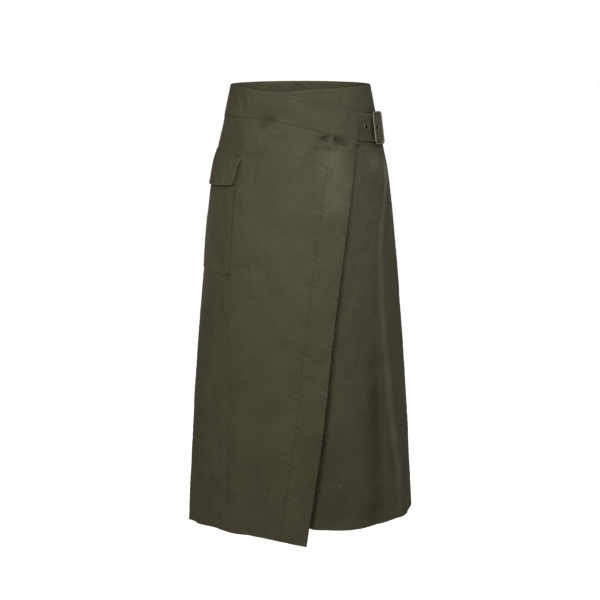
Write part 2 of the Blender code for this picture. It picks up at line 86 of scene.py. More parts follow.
# Buckle with a centre bar, and the strap that goes under, over and under its three bars.
BUCKLE_ANGLE = 69.5
BUCKLE_DROP = 79.0
BUCKLE_HEIGHT = 60.0
BUCKLE_WIDTH = 35.5
BUCKLE_CORNER = 4.5
BUCKLE_BAR = 1.5
BUCKLE_BROAD = 1.4  # the frame's bars are this much broader than they are high
CENTRE_BAR = 1.2
BUCKLE_STAND = 6.8
BUCKLE_SLOPE = 0.046  # radians that it turns in the plane of the strap
BUCKLE_TILT = 0.057  # radians that it leans out at the top, from a foot this far below its middle
TILT_FOOT = 25.0
STRAP_TAIL = 75.0
STRAP_BEFORE = 2.2
STRAP_OVER = 7.6
STRAP_HUMP = 15.2
STRAP_BEHIND = 2.2
STRAP_FADES = 28.0
STRAP_LEAN = 0.05
TAB_HEIGHT = 38.0
TAB_LENGTH = 24.0
TAB_SLOT = 8.0
TAB_SAG = 0.0058
TAB_FAN = 0.108
PRONG_WIRE = 0.9
PRONG_LOOP = 300.0  # degrees that the wire goes round the bar, and where it leaves it
PRONG_LEAVES = 155.0
EYELET_HOLE = 3.0
EYELET_WALL = 0.45
EYELET_FLANGE = 4.8
EYELET_LIP = 0.5
FAR_EYELET = -30.0
NEAR_EYELET = -8.2
FAR_EYELET_ROOM = 0.35
NEAR_EYELET_ROOM = 0.6

# Cargo pocket, across the side seam.
BAG_FRONT = -45.2
BAG_BACK = -120.4
BAG_TOP = 141.0
BAG_BOTTOM = 346.3
BAG_SWELL = 0.7
FLAP_FRONT = -42.6
FLAP_BACK = -123.0
FLAP_TAPER = 4.9
FLAP_CORNER = 1.0
FLAP_SWELL = 0.5
POCKET_MIDDLE = -82.8
POCKET_PRESS = 1.6

# How far apart the grid lines of a piece of cloth are, and how close they are to an edge or a sewn line.
FRONT_GRID = 3.2
BACK_GRID = 3.8
BAND_GRID = 2.4
BAG_GRID = 2.4
FLAP_GRID = 2.2
NEAR_EDGE = (0.3, 0.8, 1.5, 2.4)

# Sewing: how far each line lies from its edge, in mm.
FACING_LINE = 51.0
HEM_LINE = 90.0
BAND_LINE = 6.0
SEAM_LINE = 1.6
FLAP_LINE = 5.0
BAG_LINE = 2.2
STITCH_SPACE = 0.7
SEWN_GAP = 0.1  # sewn edges lie closer than the solids do

# Relief and edges, in mm.
DENT_SIZES = (85.0, 58.0, 40.0, 28.0, 20.0, 14.0)  # from crest to crest: the broad ones are deeper
HEM_DOUBLED = 0.3  # how much further the turned hem stands out than the rest
FACING_DOUBLED = 0.25  # and the turned facing
FLAP_LIP = 0.8  # how far the flap's free edge stands up
FLAP_PRESS = 0.9  # and how far it presses the bag in
CUT_EDGE = 0.05  # the share of its rounding that an edge starts at
PRESSED_EDGE = 1.1  # a folded and pressed edge is no rounder than cloth of this thickness

# Wear, and painted light and shade.
WORN_EDGE = 1.2  # the dye has rubbed off this far in from an edge
CREST_WEAR_AND_PAINTED_HIGHLIGHT = 0.42  # how much paler a hem's pucker is for each mm that it stands out: partly wear, partly a painted highlight
FACING_PAINTED_SHADING = 0.12  # the painted highlight and shade on the puckers and groove of the facing's line, for each mm
WRAP_EDGE_PAINTED_SHADING = 0.15  # and the same painted highlight and shade on the puckers of the wrap's edge
FLAP_PAINTED_LIGHT_AND_SHADOW = 0.35  # the share of painted highlight on the flap's free edge, and of painted shadow on the bag below it


def rows_of(kind, *rows):
    """A table of rows of one kind, which names their columns."""
    return tuple(kind(*row) for row in rows)


Section = namedtuple("Section", "drop half_width front_depth back_depth pinch")
SECTIONS = rows_of(
    Section,
    (0, 127.4, 94, 96, 1.00),
    (70, 142.1, 102.5, 108, 1.00),
    (140, 158.7, 110.5, 121, 1.00),
    (205, 168.9, 117.5, 127.4, 1.00),
    (300, 178.7, 125, 136, 1.02),
    (420, 188.7, 134, 144, 1.06),
    (600, 202.6, 146, 154, 1.14),
    (860, 216.6, 158, 166, 1.20),
)

# A long fold stands out by its rise, or sinks in where that is negative. It starts at one drop and is full
# at another, and by the hem its angle has moved by its lean.
Fold = namedtuple("Fold", "angle lean width start full rise")
FOLDS = rows_of(
    Fold,
    (54, 11, 7, 120, 470, 5.5),
    (40, 4, 9, 300, 780, -5),
    (24, -2, 9, 420, 840, 3),
    (-24, -2, 6, 420, 820, -2.5),
    (-33, -3, 7, 380, 820, 3.5),
    (-60, 0, 6, 430, 840, 3),
    (-76, 2, 7, 400, 820, -2.5),
    (118, -4, 9, 260, 720, 6),
    (138, 3, 9, 320, 800, -5.5),
    (160, -3, 10, 280, 760, 5.5),
    (187, 4, 9, 360, 820, -4.5),
    (207, -2, 10, 240, 700, 6),
    (229, 3, 8, 420, 830, -4.5),
    (247, -3, 8, 400, 780, 4),
)

# A crease runs from one angle and drop to another. It bows by its bend, is this wide to each side, and
# stands out or sinks in by its rise. It opens and closes over these shares of its length.
Crease = namedtuple("Crease", "angle drop to_angle to_drop width rise bend opens closes")
CREASES = rows_of(
    Crease,
    # The doubled facing stands out in a broad swell beside the edge of the wrap.
    (6, 112, 0, 275, 45, 6, 0, 0.5, 0.35),
    # Puckers that spread from where the facing's line meets the waistband.
    (23, 91, 39, 108, 5.2, -7.5, 1.5, 0.15, 0.5),
    (26, 99, 42, 114, 5.5, 2.6, 1, 0.3, 0.5),
    (21.5, 91, 9, 94, 4.8, -6, -1, 0.15, 0.6),
    (14.5, 105, 20.5, 96, 2.8, 2.6, 0, 0.3, 0.3),
    (15.5, 108, 20, 104, 2.2, -1.8, 0, 0.3, 0.3),
    (22.4, 103, 27.5, 110, 2.4, -2.2, 0, 0.3, 0.4),
    (13, 110, 27.5, 108.5, 2.4, 1.1, 0, 0.4, 0.4),
    (14.5, 115, 25, 114, 2.6, -1, 0, 0.4, 0.4),
    (16, 110, 3, 131, 6, -1.6, 2, 0.3, 0.6),
    (13, 121, 1, 146, 6, 1, 2, 0.4, 0.6),
    # Soft folds across the slanting waistband.
    (-26.5, 78, -17.5, 42, 7, -3.6, 2, 0.5, 0.5),
    (-2, 32, 43, 66, 8.5, -2, -5, 0.3, 0.4),
    (-11, 41, 27, 80, 7.5, 1, -3, 0.4, 0.4),
    (31.5, 66, 41, 83, 4.8, -1, 1, 0.4, 0.4),
    (35, 47, 47.5, 62, 4.5, -1.1, 0, 0.3, 0.5),
    (-58, 20, -37, 34, 7, -0.7, 1, 0.5, 0.5),
    (-66, 44, -44, 50, 6, 0.6, 1, 0.5, 0.5),
    (64.6, 49, 60, 99, 2.4, -1.3, 0, 0.2, 0.2),
    (50, 50, 48, 99, 5, -0.9, 1, 0.3, 0.3),
    # Drag lines between the pocket's flap and the waistband's seam.
    (-21, 98, -5, 84, 6, -1.7, 0, 0.5, 0.5),
    (-24.5, 91, -10.5, 78, 5, 1.2, 0, 0.5, 0.5),
    (-44, 132, -12.5, 110, 10, -3.4, 3, 0.3, 0.5),
    (-41, 143, -20, 138, 6, 1.2, 2, 0.2, 0.6),
    (-46, 82, -33, 70, 7, -0.8, 1, 0.5, 0.5),
    (-78, 84, -62, 112, 8, -1, 2, 0.5, 0.5),
    # The under front: a drag line from the strap, and the hip's long ridge above the fold.
    (43.5, 116, 59, 143, 5.5, -1.8, 2, 0.2, 0.5),
    (44, 128, 55, 160, 6, 0.8, 2, 0.3, 0.6),
    (80, 185, 69, 295, 3.2, 1, 0, 0.3, 0.3),
    (65, 290, 63, 560, 9, -1.8, 3, 0.3, 0.3),
    (64, 540, 70, 812, 9, -2.4, 3, 0.3, 0.2),
    (47, 330, 46, 700, 8, -1.4, 0, 0.4, 0.4),
    # Lower front, between the folds.
    (1, 490.5, 17, 496.5, 2.1, 1, 0, 0.4, 0.2),
    (-51.5, 660, -48.4, 825, 6, 1.5, 2, 0.4, 0.2),
    (-42, 560, -40.2, 815, 8, -1.8, -2, 0.5, 0.3),
    (-24, 600, -22.5, 800, 9, -1.4, 2, 0.5, 0.4),
    (48, 470, 49, 800, 6, -1.6, 3, 0.5, 0.3),
    # Side seams.
    (-97, 380, -93, 640, 8, 1.2, 4, 0.5, 0.5),
    (97, 150, 92, 330, 8, -1.2, -4, 0.5, 0.5),
    (82, 420, 84, 700, 9, -1.4, 4, 0.5, 0.5),
    # The back: drag lines below the waistband, and hollows over the seat.
    (108, 118, 133, 152, 8, -1.6, 3, 0.2, 0.6),
    (124, 112, 158, 130, 7, -1.2, 2, 0.3, 0.6),
    (165, 96, 151, 128, 5, -1, 2, 0.2, 0.6),
    (177, 92, 187, 118, 4.5, -1.1, 1, 0.2, 0.6),
    (196, 86, 205, 122, 6, -1, -2, 0.2, 0.6),
    (226, 74, 209, 112, 7, -1.3, 2, 0.2, 0.6),
    (236, 128, 214, 104, 7, -1.1, 2, 0.3, 0.6),
    (238, 152, 206, 168, 9, 1, 3, 0.3, 0.6),
    (112, 178, 148, 196, 10, 1.1, 4, 0.4, 0.5),
    (171, 40, 200, 26, 7, -0.9, 2, 0.5, 0.5),
    (118, 46, 146, 68, 8, -1, 2, 0.5, 0.5),
    (218, 22, 241, 44, 7, -0.8, 2, 0.5, 0.5),
    (151, 430, 178, 446, 3, 0.7, 2, 0.4, 0.4),
    (200, 560, 222, 548, 3.4, -0.7, 2, 0.4, 0.4),
)

# Painted light and shade: these places are painted paler, or darker where the rise is negative. A row runs
# and fades like a crease's, and its rise is a share of the colour.
PAINTED_LIGHT_AND_SHADE = rows_of(
    Crease,
    # Painted highlights on the doubled facing below the waistband, and on the under front below the strap.
    (24, 98, 20, 262, 26, 0.3, 0, 0.2, 0.45),
    (48, 132, 84, 150, 22, 0.24, 0, 0.3, 0.3),
    (66, 140, 60, 300, 16, 0.10, 0, 0.3, 0.4),
    # Painted shade on the strap before the buckle, and in the under front's long hollow.
    (42, 74, 68, 79, 26, -0.2, 0, 0.3, 0.2),
    (45, 420, 42, 830, 17, -0.2, 0, 0.4, 0.1),
    # Painted light on the middle of the upper front, a painted highlight on the ridge over the hip, and
    # painted light on the cloth round both side seams.
    (2, 110, 0, 480, 60, 0.04, 0, 0.3, 0.4),
    (78.5, 200, 69.2, 295, 2.8, 0.25, 0, 0.2, 0.2),
    (-72, 120, -72, 420, 26, 0.1, 0, 0.2, 0.4),
    (-82, 200, -80, 470, 20, 0.26, 0, 0.3, 0.4),
    (-80, 10, -78, 130, 22, 0.1, 0, 0.3, 0.3),
    (-88, 220, -86, 440, 13, 0.16, 0, 0.3, 0.4),
    (84, 110, 82, 350, 22, 0.14, 0, 0.2, 0.4),
    # Painted shade on the lower part of the front beside the wrap's edge, and on the waistband before its
    # fold.
    (14, 600, 14, 815, 36, -0.1, 0, 0.4, 0.1),
    (-38, 36, -2, 50, 15, -0.08, 0, 0.3, 0.3),
    # Painted shade inside the pinched folds at the strap, at the waistband's seam and at the facing's top,
    # with painted highlights on their crests; the narrow dark line on the strap is the buckle frame's
    # painted shadow.
    (62.8, 52, 59.2, 100, 2.6, -0.28, 0, 0.15, 0.15),
    (-31, 51, -17.5, 59, 7, -0.2, 0, 0.3, 0.3),
    (-28.5, 59, -24, 78, 10, -0.18, 0, 0.3, 0.4),
    (-17, 60, -3, 61, 4.5, 0.13, 0, 0.3, 0.4),
    (22.8, 95, 37, 105.5, 4.2, -0.28, 0, 0.35, 0.3),
    (14, 90.5, 20, 96.5, 3.4, -0.26, 0, 0.3, 0.3),
    (16.5, 111.5, 21.5, 107, 2.8, -0.16, 0, 0.3, 0.3),
    (20.6, 92, 20.3, 106, 2.4, 0.18, 0, 0.3, 0.3),
    # A painted shadow on the cloth close in front of the pocket flap's front edge.
    (-41.4, 131, -46.3, 181, 1.4, -0.3, 0, 0.1, 0.1),
)

# A long ridge over the hip, down the under front: its angle at each drop, and its share of its full height.
RIDGE_RISE = 3.0
RIDGE_HOLLOW = 2.2
RIDGE_PAINTED_HIGHLIGHT = 0.2  # the share of painted highlight along its side
HipRidge = namedtuple("HipRidge", "drop angle shown")
HIP_RIDGE = rows_of(
    HipRidge,
    (118, 79, 0.2), (175, 72.9, 1.4), (220, 63.8, 0.7), (264, 56.6, 0.6), (375, 53, 0.7),
    (489, 53.2, 0.9), (556, 54.6, 1), (625, 56.2, 1.1), (724, 60, 1.1), (784, 60.1, 0.8),
    (825, 60.3, 0.2),
)

# The front edge of the wrap, across from the middle.
FrontEdge = namedtuple("FrontEdge", "drop across")
WRAP_EDGE = rows_of(FrontEdge, (97, 102), (200, 89.5), (330, 73.8), (480, 55.5), (640, 39.5), (860, 9))

# Level edges and seams, by the angle round the body.
Level = namedtuple("Level", "angle drop")
LAP_BAND_TOP = rows_of(
    Level,
    (-90, 0), (-54, 2), (-36, 6.5), (-19, 9), (-8, 12.5), (0, 18), (15, 26), (32, 36), (50, 47.5),
    (68, 52), (114, 52.5),
)
LAP_BAND_SEAM = rows_of(
    Level,
    (-90, 59.5), (-60, 57.5), (-40, 56.8), (-25, 58.5), (-11, 64), (0, 70.5), (22, 85.5), (39, 95),
    (50, 99.5), (68, 102), (114, 102.5),
)
UNDER_BAND_TOP = rows_of(
    Level,
    (-34, 15), (-20, 11), (-8, 7.5), (4, 5.5), (22, 3.5), (45, 1), (65, 0), (90, 0),
)
UNDER_BAND_SEAM = rows_of(Level, (-34, 88), (20, 99), (43, 105.5), (66, 111.5), (90, 113.5))
BACK_BAND_SEAM = rows_of(Level, (90, 113.5), (135, 101), (180, 84), (225, 68), (270, 59.5))
LAP_HEM = rows_of(
    Level,
    (-90, 845.5), (-83, 841.5), (-75, 838), (-60, 832.5), (-45, 829.5), (-25, 831.5), (-12, 835.5),
    (0, 842.5), (8, 848.5),
)
UNDER_HEM = rows_of(Level, (-34, 810), (4, 814.5), (25, 820), (45, 821.5), (67, 816), (90, 813))
BACK_HEM = rows_of(Level, (90, 813), (135, 815), (180, 824), (225, 835), (258, 840), (270, 845.5))
BAG_HEM = rows_of(
    Level, (BAG_BACK, BAG_BOTTOM), (-108, 343.7), (-83, 342.5), (-57, 343.7), (BAG_FRONT, BAG_BOTTOM)
)
FLAP_TOP = rows_of(
    Level, (FLAP_BACK, 130.1), (-104, 122.2), (POCKET_MIDDLE, 119.5), (-61, 122.2), (FLAP_FRONT, 130.1)
)
FLAP_HEM = rows_of(Level, (-118, 179), (-108, 180.8), (POCKET_MIDDLE, 184.5), (-57.4, 180.8), (-47.5, 179))

# What each piece was cut to, before it was sewn: its width, length and area in metres.
Cut = namedtuple("Cut", "width length area")


# How deep a line of sewing puckers the cloth and how deep its groove is, how far the puckers reach to its
# sides and how far apart they are along it, all in mm. A folded or seamed edge has puckers and no groove.
Sewing = namedtuple("Sewing", "pucker groove reach pace")
SEWING = {
    "facing": Sewing(0.9, 0.35, 9, 9),
    "hem": Sewing(0.5, 0.3, 8, 13),
    "band_top": Sewing(0.2, 0.26, 5, 11),
    "band_seam": Sewing(0.18, 0.2, 6, 10),
    "bag_side": Sewing(0.12, 0.2, 6, 12),
    "bag_bottom": Sewing(0.12, 0.2, 6, 11),
    "flap_side": Sewing(0.15, 0.25, 5, 12),
    "flap_top": Sewing(0.2, 0.3, 6, 10),
    "flap_edge": Sewing(0.2, 0.25, 6, 12),
    "wrap_edge": Sewing(0.7, 0, 8, 12),
    "hem_edge": Sewing(0.25, 0, 5, 17),
    "side_seam": Sewing(0.28, 0, 7, 14),
    "top_seam": Sewing(0.3, 0, 8, 11),
}


def mix(first, second, share):
    return first + (second - first) * share


def ease(share):
    """0 before 0, 1 after 1, and a smooth rise between them."""
    share = np.clip(share, 0.0, 1.0)
    return share * share * (3 - 2 * share)


def bell(distance, width):
    """1 at no distance, about a third at this width, and hardly anything at twice the width."""
    return np.exp(-((distance / width) ** 2))


def curve(first, second, first_slope, second_slope, share):
    """A smooth curve from a first value to a second one, which has these slopes at its ends."""
    rise = second - first
    return (
        first
        + first_slope * share
        + (3 * rise - 2 * first_slope - second_slope) * share**2
        + (first_slope + second_slope - 2 * rise) * share**3
    )


def follow(rows, place, column="drop"):
    """The value of a column, on a smooth curve through the table's rows, at places in its first column."""
    knots = np.array([row[0] for row in rows], float)
    values = np.array([getattr(row, column) for row in rows], float)
    last = len(rows) - 1
    before = np.maximum(np.arange(last + 1) - 1, 0)
    after = np.minimum(np.arange(last + 1) + 1, last)
    slopes = (values[after] - values[before]) / (knots[after] - knots[before])
    place = np.clip(place, knots[0], knots[last])
    start = np.clip(np.searchsorted(knots, place, side="right") - 1, 0, last - 1)
    span = knots[start + 1] - knots[start]
    share = (place - knots[start]) / span
    return curve(values[start], values[start + 1], slopes[start] * span, slopes[start + 1] * span, share)


def turned(angle, centre):
    """How far an angle lies from another, the short way round."""
    return (angle - centre + 180) % 360 - 180


def fold_rise(angle, drop):
    rise = 0.0
    for fold in FOLDS:
        lean = fold.lean * drop / SECTIONS[-1].drop
        apart = turned(angle, fold.angle + lean)
        grown = ease((drop - fold.start) / (fold.full - fold.start))
        rise = rise + fold.rise * grown * bell(apart, fold.width)
    return rise


def pocket_press(angle, drop):
    """How far the doubled cloth of the pocket presses the hip in, from above its flap to below its bag."""
    grown = ease((drop - 60) / 110) * ease((470 - drop) / 140)
    return POCKET_PRESS * grown * bell(turned(angle, POCKET_MIDDLE), 38)


def skin(angle, drop, out):
    """Points in mm, this far out of the body surface with its long folds."""
    angle, drop, out = np.broadcast_arrays(*(np.asarray(value, float) for value in (angle, drop, out)))
    turn = np.radians(angle)
    sine = np.sin(turn)
    cosine = np.cos(turn)
    half_width = follow(SECTIONS, drop, "half_width")
    front_depth = follow(SECTIONS, drop, "front_depth")
    back_depth = follow(SECTIONS, drop, "back_depth")
    depth = np.where(cosine > 0, front_depth, back_depth)
    pinched = np.copysign(np.abs(cosine) ** follow(SECTIONS, drop, "pinch"), cosine)
    outward = np.stack([depth * sine, -half_width * cosine], -1)
    outward /= np.linalg.norm(outward, axis=-1, keepdims=True)
    away = out + fold_rise(angle, drop) - pocket_press(angle, drop)
    return np.stack(
        [half_width * sine + outward[..., 0] * away, -depth * pinched + outward[..., 1] * away, -drop], -1
    )


def mm_per_degree(angle, drop):
    turn = math.radians(angle)
    half_width = follow(SECTIONS, drop, "half_width")
    depth = follow(SECTIONS, drop, "front_depth" if math.cos(turn) > 0 else "back_depth")
    return math.radians(1) * math.hypot(half_width * math.cos(turn), depth * math.sin(turn))


def crease_rise(angle, drop, rows=CREASES):
    rise = 0.0
    for crease in rows:
        scale = mm_per_degree((crease.angle + crease.to_angle) / 2, (crease.drop + crease.to_drop) / 2)
        run_across = (crease.to_angle - crease.angle) * scale
        run_down = crease.to_drop - crease.drop
        length = math.hypot(run_across, run_down)
        across = turned(angle, crease.angle) * scale
        down = drop - crease.drop
        along = (across * run_across + down * run_down) / length**2
        aside = (down * run_across - across * run_down) / length
        aside = aside - crease.bend * 4 * along * (1 - along)
        shown = ease(along / crease.opens) * ease((1 - along) / crease.closes)
        rise = rise + crease.rise * shown * bell(aside, crease.width)
    return rise


def hip_ridge(angle, drop):
    """How far the hip's long ridge stands out, with a hollow before it, and the painted highlight along its
    side.
    """
    aside = (angle - follow(HIP_RIDGE, drop, "angle")) * mm_per_degree(57, 450)
    shown = follow(HIP_RIDGE, drop, "shown") * (0.8 + 0.3 * uneven(drop, 120, 3))
    crest = RIDGE_RISE * bell(aside - 5, 4.5)
    hollow = RIDGE_HOLLOW * bell(aside + 5.5, 5)
    return shown * (crest - hollow), RIDGE_PAINTED_HIGHLIGHT * shown * bell(aside, 4.8)


def angle_of(across, drop):
    """The front angle of a line that lies this far across from the middle."""
    return np.degrees(np.arcsin(across / follow(SECTIONS, drop, "half_width")))


def wrap_edge(drop):
    return angle_of(follow(WRAP_EDGE, drop, "across"), drop)


def under_edge(drop):
    return angle_of(UNDER_EDGE_ACROSS, drop)


def edge_hollow(angle, drop):
    """How far the under front sinks beside the edge of the wrap, deeper towards the hem."""
    across = follow(SECTIONS, drop, "half_width") * np.sin(np.radians(angle))
    aside = across - follow(WRAP_EDGE, drop, "across")
    grown = ease((drop - 100) / 620)
    return mix(*UNDER_HOLLOW, grown) * bell(aside - mix(2.5, 1.0, grown), mix(4.5, 6.5, grown))


def lap_stand(angle, drop):
    """How far the inner face of the upper front lies out of the body surface."""
    stand = LAP_STAND * ease((angle - LAP_LEAVES) / (LAP_LIES - LAP_LEAVES))
    edge = wrap_edge(np.maximum(drop, WRAP_EDGE[0].drop))
    near_edge = ease(1 - (edge - angle) / LAP_EDGE_REACH)
    lift = LAP_EDGE_LIFT * near_edge * ease((drop - WRAP_EDGE[0].drop) / 420)
    return stand + np.where((angle > -90) & (angle < 90), lift, 0.0)


def between(across, down, left, right, top, bottom):
    """The angles and drops of places in a piece, from its four edges."""
    drop = mix(0.0, SECTIONS[-1].drop, down)
    # The sides depend on the drop and the top and bottom on the angle, so it takes a few rounds.
    for _ in range(8):
        angle = mix(left(drop), right(drop), across)
        drop = mix(top(angle), bottom(angle), down)
    return angle, drop


def side_seam(angle, towards):
    """The edge of a piece at a side seam, a little past it so that no light comes through."""
    return lambda drop: angle - towards * SEAM_LAP + 0 * drop


def level(rows, lower=0.0):
    """A level edge from its table, a little lower where a seam's gap is wanted."""
    return lambda angle: follow(rows, angle) + lower


def line_up(lengths, marks, spacing):
    """Places in mm along lines of these lengths, and the number of each mark's place.

    Every line has the same number of places: close ones at both ends and at the marks, evenly spread ones
    between them. A negative mark counts back from a line's end.
    """
    stops = [(mark + (lengths if mark < 0 else 0 * lengths), mark) for mark in marks]
    stops.sort(key=lambda stop: stop[0].mean())
    stops.append((lengths, "end"))
    places = [0 * lengths]
    numbers = {}
    for after, mark in stops:
        before = places[-1]
        room = (after - before).mean()
        gaps = np.array(NEAR_EDGE) * min(1, 0.43 * room / NEAR_EDGE[-1])
        first = before + gaps[-1]
        last = after - gaps[-1]
        count = max(1, round((last - first).mean() / spacing))
        places += [before + gap for gap in gaps[:-1]]
        places += [mix(first, last, number / count) for number in range(count + 1)]
        places += [after - gap for gap in gaps[-2::-1]]
        numbers[mark] = len(places)
        places.append(after)
    return np.stack(places, -1), numbers


Grid = namedtuple("Grid", "angle drop out from_left from_right from_top from_bottom columns rows")


def lay_out(spot, spacing, column_marks=(), row_marks=(), measured=49):
    """A grid over a piece of cloth, close at its edges and at its sewn lines, which are the marks.

    The cloth is measured along this many lines each way.
    """
    shares = np.linspace(0, 1, measured)
    across, down = np.meshgrid(shares, shares)
    points = skin(*spot(across, down))
    across_steps = np.linalg.norm(np.diff(points, axis=1), axis=2)
    down_steps = np.linalg.norm(np.diff(points, axis=0), axis=2)
    across_run = np.pad(np.cumsum(across_steps, axis=1), ((0, 0), (1, 0)))
    down_run = np.pad(np.cumsum(down_steps, axis=0), ((1, 0), (0, 0)))
    from_left, columns = line_up(across_run[:, -1], column_marks, spacing)
    from_top, rows = line_up(down_run[-1], row_marks, spacing)
    column_shares = np.stack([np.interp(*run, shares) for run in zip(from_left, across_run)])
    row_shares = np.stack([np.interp(*run, shares) for run in zip(from_top, down_run.T)])
    usual = row_shares.mean(0)
    across = np.stack([np.interp(usual, shares, column) for column in column_shares.T], 1)
    down = np.stack([np.interp(row, shares, share) for row, share in zip(across, row_shares.T)])
    left = np.stack([np.interp(row, shares, column) for row, column in zip(down.T, from_left.T)], 1)
    top = np.stack([np.interp(column, shares, row) for column, row in zip(across, from_top.T)])
    width = np.interp(down, shares, across_run[:, -1])
    height = np.interp(across, shares, down_run[-1])
    angle, drop, out = np.broadcast_arrays(*spot(across, down))
    return Grid(angle, drop, out, left, width - left, top, height - top, columns, rows)


def uneven(along, pace, seed):
    """A wave with no even beat, from -1 to 1, whose usual length is the pace."""
    phase = seed * 1.7
    drift = 1.8 * np.sin(along / pace * 1.31 + phase) + 1.1 * np.sin(along / pace * 0.37 + 2 * phase)
    swell = 0.62 + 0.38 * np.sin(along / pace * 0.83 + 3 * phase)
    return swell * np.sin(2 * math.pi * along / pace + drift)


def sparse(wave):
    """The same wave with only its strong beats left."""
    return 1.6 * wave * np.abs(wave)


def sewn(line, away, along, seed):
    """Sewing pulls the cloth down in a groove, and gathers it into small puckers on both sides."""
    pucker, groove, reach, pace = SEWING[line]
    pulled = -groove * bell(away, 0.9)
    gathers = bell(away, reach) * (1 - 0.7 * bell(away, 1.4))
    return pulled + pucker * gathers * sparse(uneven(along + 0.35 * away, pace, seed))


def gathered(edge, from_edge, along, seed):
    """Small puckers that a folded or seamed edge makes, and that fade away from it."""
    pucker, _, reach, pace = SEWING[edge]
    return pucker * bell(from_edge, reach) * sparse(uneven(along + 0.5 * from_edge, pace, seed))


def crest_wear_and_highlight(puckers):
    """How much paler the crests of puckers are, as a share of the colour: partly wear, partly a painted
    highlight.
    """
    return CREST_WEAR_AND_PAINTED_HIGHLIGHT * np.maximum(0, puckers)


def crumple(points):
    """Soft uneven dents from -1 to 1, as washed cotton keeps once it has been pressed and worn."""
    waves = np.random.default_rng(7)
    # The places are bent first, so that no wave runs straight.
    bent = points + 9 * np.sin(points[..., [2, 0, 1]] / 57) + 4 * np.sin(points[..., [1, 2, 0]] / 21)
    dents = 0.0
    for size in DENT_SIZES:
        for _ in range(6):
            way = waves.normal(size=3) * (1.0, 1.0, 0.8)
            way *= waves.uniform(0.8, 1.25) / (size * np.linalg.norm(way))
            share = (size / DENT_SIZES[0]) ** 0.85
            dents = dents + share * np.sin(2 * math.pi * (bent @ way) + waves.uniform(0, 6.28))
    return np.tanh(dents / 2.6)


def off_buckle(angle, drop):
    """0 at the buckle, where the strap is held flat, and 1 away from it."""
    away = np.hypot(turned(angle, BUCKLE_ANGLE) * 2.3, drop - BUCKLE_DROP)
    return ease((away - 32) / 34)


def off_side_seams(angle):
    """0.3 at the side seams, which hold the cloth taut, and 1 away from them."""
    aside = np.abs(turned(angle, 0)) - 90
    return 1 - 0.7 * bell(aside, 20)


def off_pocket(angle, drop):
    """0 under the pocket, whose edges lie close on the panels, and 1 away from it."""
    middle = (BAG_FRONT + BAG_BACK) / 2
    aside = np.abs(turned(angle, middle)) - (BAG_FRONT - BAG_BACK) / 2
    beyond = np.maximum(follow(FLAP_TOP, angle) - drop, drop - BAG_BOTTOM)
    return ease((np.maximum(aside * 3, beyond) + 1) / 8)


def rgb(hex_colour):
    """The linear colour of an sRGB hex value."""
    parts = [int(hex_colour[start : start + 2], 16) / 255 for start in (0, 2, 4)]
    return tuple(part / 12.92 if part <= 0.04045 else ((part + 0.055) / 1.055) ** 2.4 for part in parts)


def shaded(colour, times):
    """A colour made lighter or darker, with its alpha."""
    return (*(min(1.0, channel * times) for channel in colour), 1)


def colour_setting(name, description, hex_colour):
    """A colour that the user can change, from its sRGB hex value."""
    return bpy.props.FloatVectorProperty(
        name=name,
        description=description,
        subtype="COLOR",
        size=3,
        min=0,
        max=1,
        default=rgb(hex_colour),
    )


def length_setting(name, description, least, most, default):
    """A length that the user can change, in metres."""
    return bpy.props.FloatProperty(
        name=name,
        description=description,
        subtype="DISTANCE",
        unit="LENGTH",
        min=least,
        max=most,
        default=default,
    )


class SkirtClothSettings(bpy.types.PropertyGroup):
    """The twill, its rumpling and its sewing."""

    twill_colour: colour_setting("Twill", "Colour of the dyed twill", "494539")
    thread_colour: colour_setting("Thread", "Colour of the sewing thread", "47452f")
    dent_depth: length_setting(
        "Dent depth", "How deep the soft dents of the washed cloth are", 0, 0.003, default=0.0013
    )
    stitch_length: length_setting("Stitch length", "Length of one stitch", 0.0015, 0.006, default=0.0029)
    thread_radius: length_setting(
        "Thread radius", "Half the thickness of the sewing thread", 0.0001, 0.0005, default=0.00026
    )


class SkirtMetalSettings(bpy.types.PropertyGroup):
    """The buckle and the eyelets."""

    nickel_colour: colour_setting("Plating", "Colour of the dark nickel plating", "6f695f")
    brass_colour: colour_setting("Eyelets", "Colour of the antiqued brass", "63574b")
    casting_step: length_setting(
        "Casting step", "Size of the faces of the cast buckle", 0.0002, 0.001, default=0.00034
    )


class SkirtStageSettings(bpy.types.PropertyGroup):
    """The studio round the skirt."""

    floor_drop: length_setting("Floor", "How far the floor lies below the waist", 0.9, 3, default=1.35)
    light: bpy.props.FloatProperty(
        name="Light",
        description="Strength of all the lamps together",
        subtype="FACTOR",
        min=0,
        max=4,
        default=1,
    )


COLOUR_MIX = {"data_type": "RGBA"}


def set_inputs(node, inputs):
    """Gives a node's inputs their values, or links them to other nodes' outputs."""
    for name, value in dict(inputs).items():
        if isinstance(value, bpy.types.NodeSocket):
            node.id_data.links.new(value, node.inputs[name])
        else:
            node.inputs[name].default_value = value


def add_node(tree, kind, settings=(), inputs=()):
    """Adds a node, with its settings and with a value or another node's output for each input."""
    node = tree.nodes.new(f"ShaderNode{kind}")
    for name, value in dict(settings).items():
        setattr(node, name, value)
    set_inputs(node, inputs)
    return node


def new_material(name, values):
    """A material with a Principled shader that has these values, its shader and its way to add a node."""
    material = bpy.data.materials.new(name)
    material.use_nodes = True
    shader = material.node_tree.nodes["Principled BSDF"]
    set_inputs(shader, values)
    return material, shader, partial(add_node, material.node_tree)


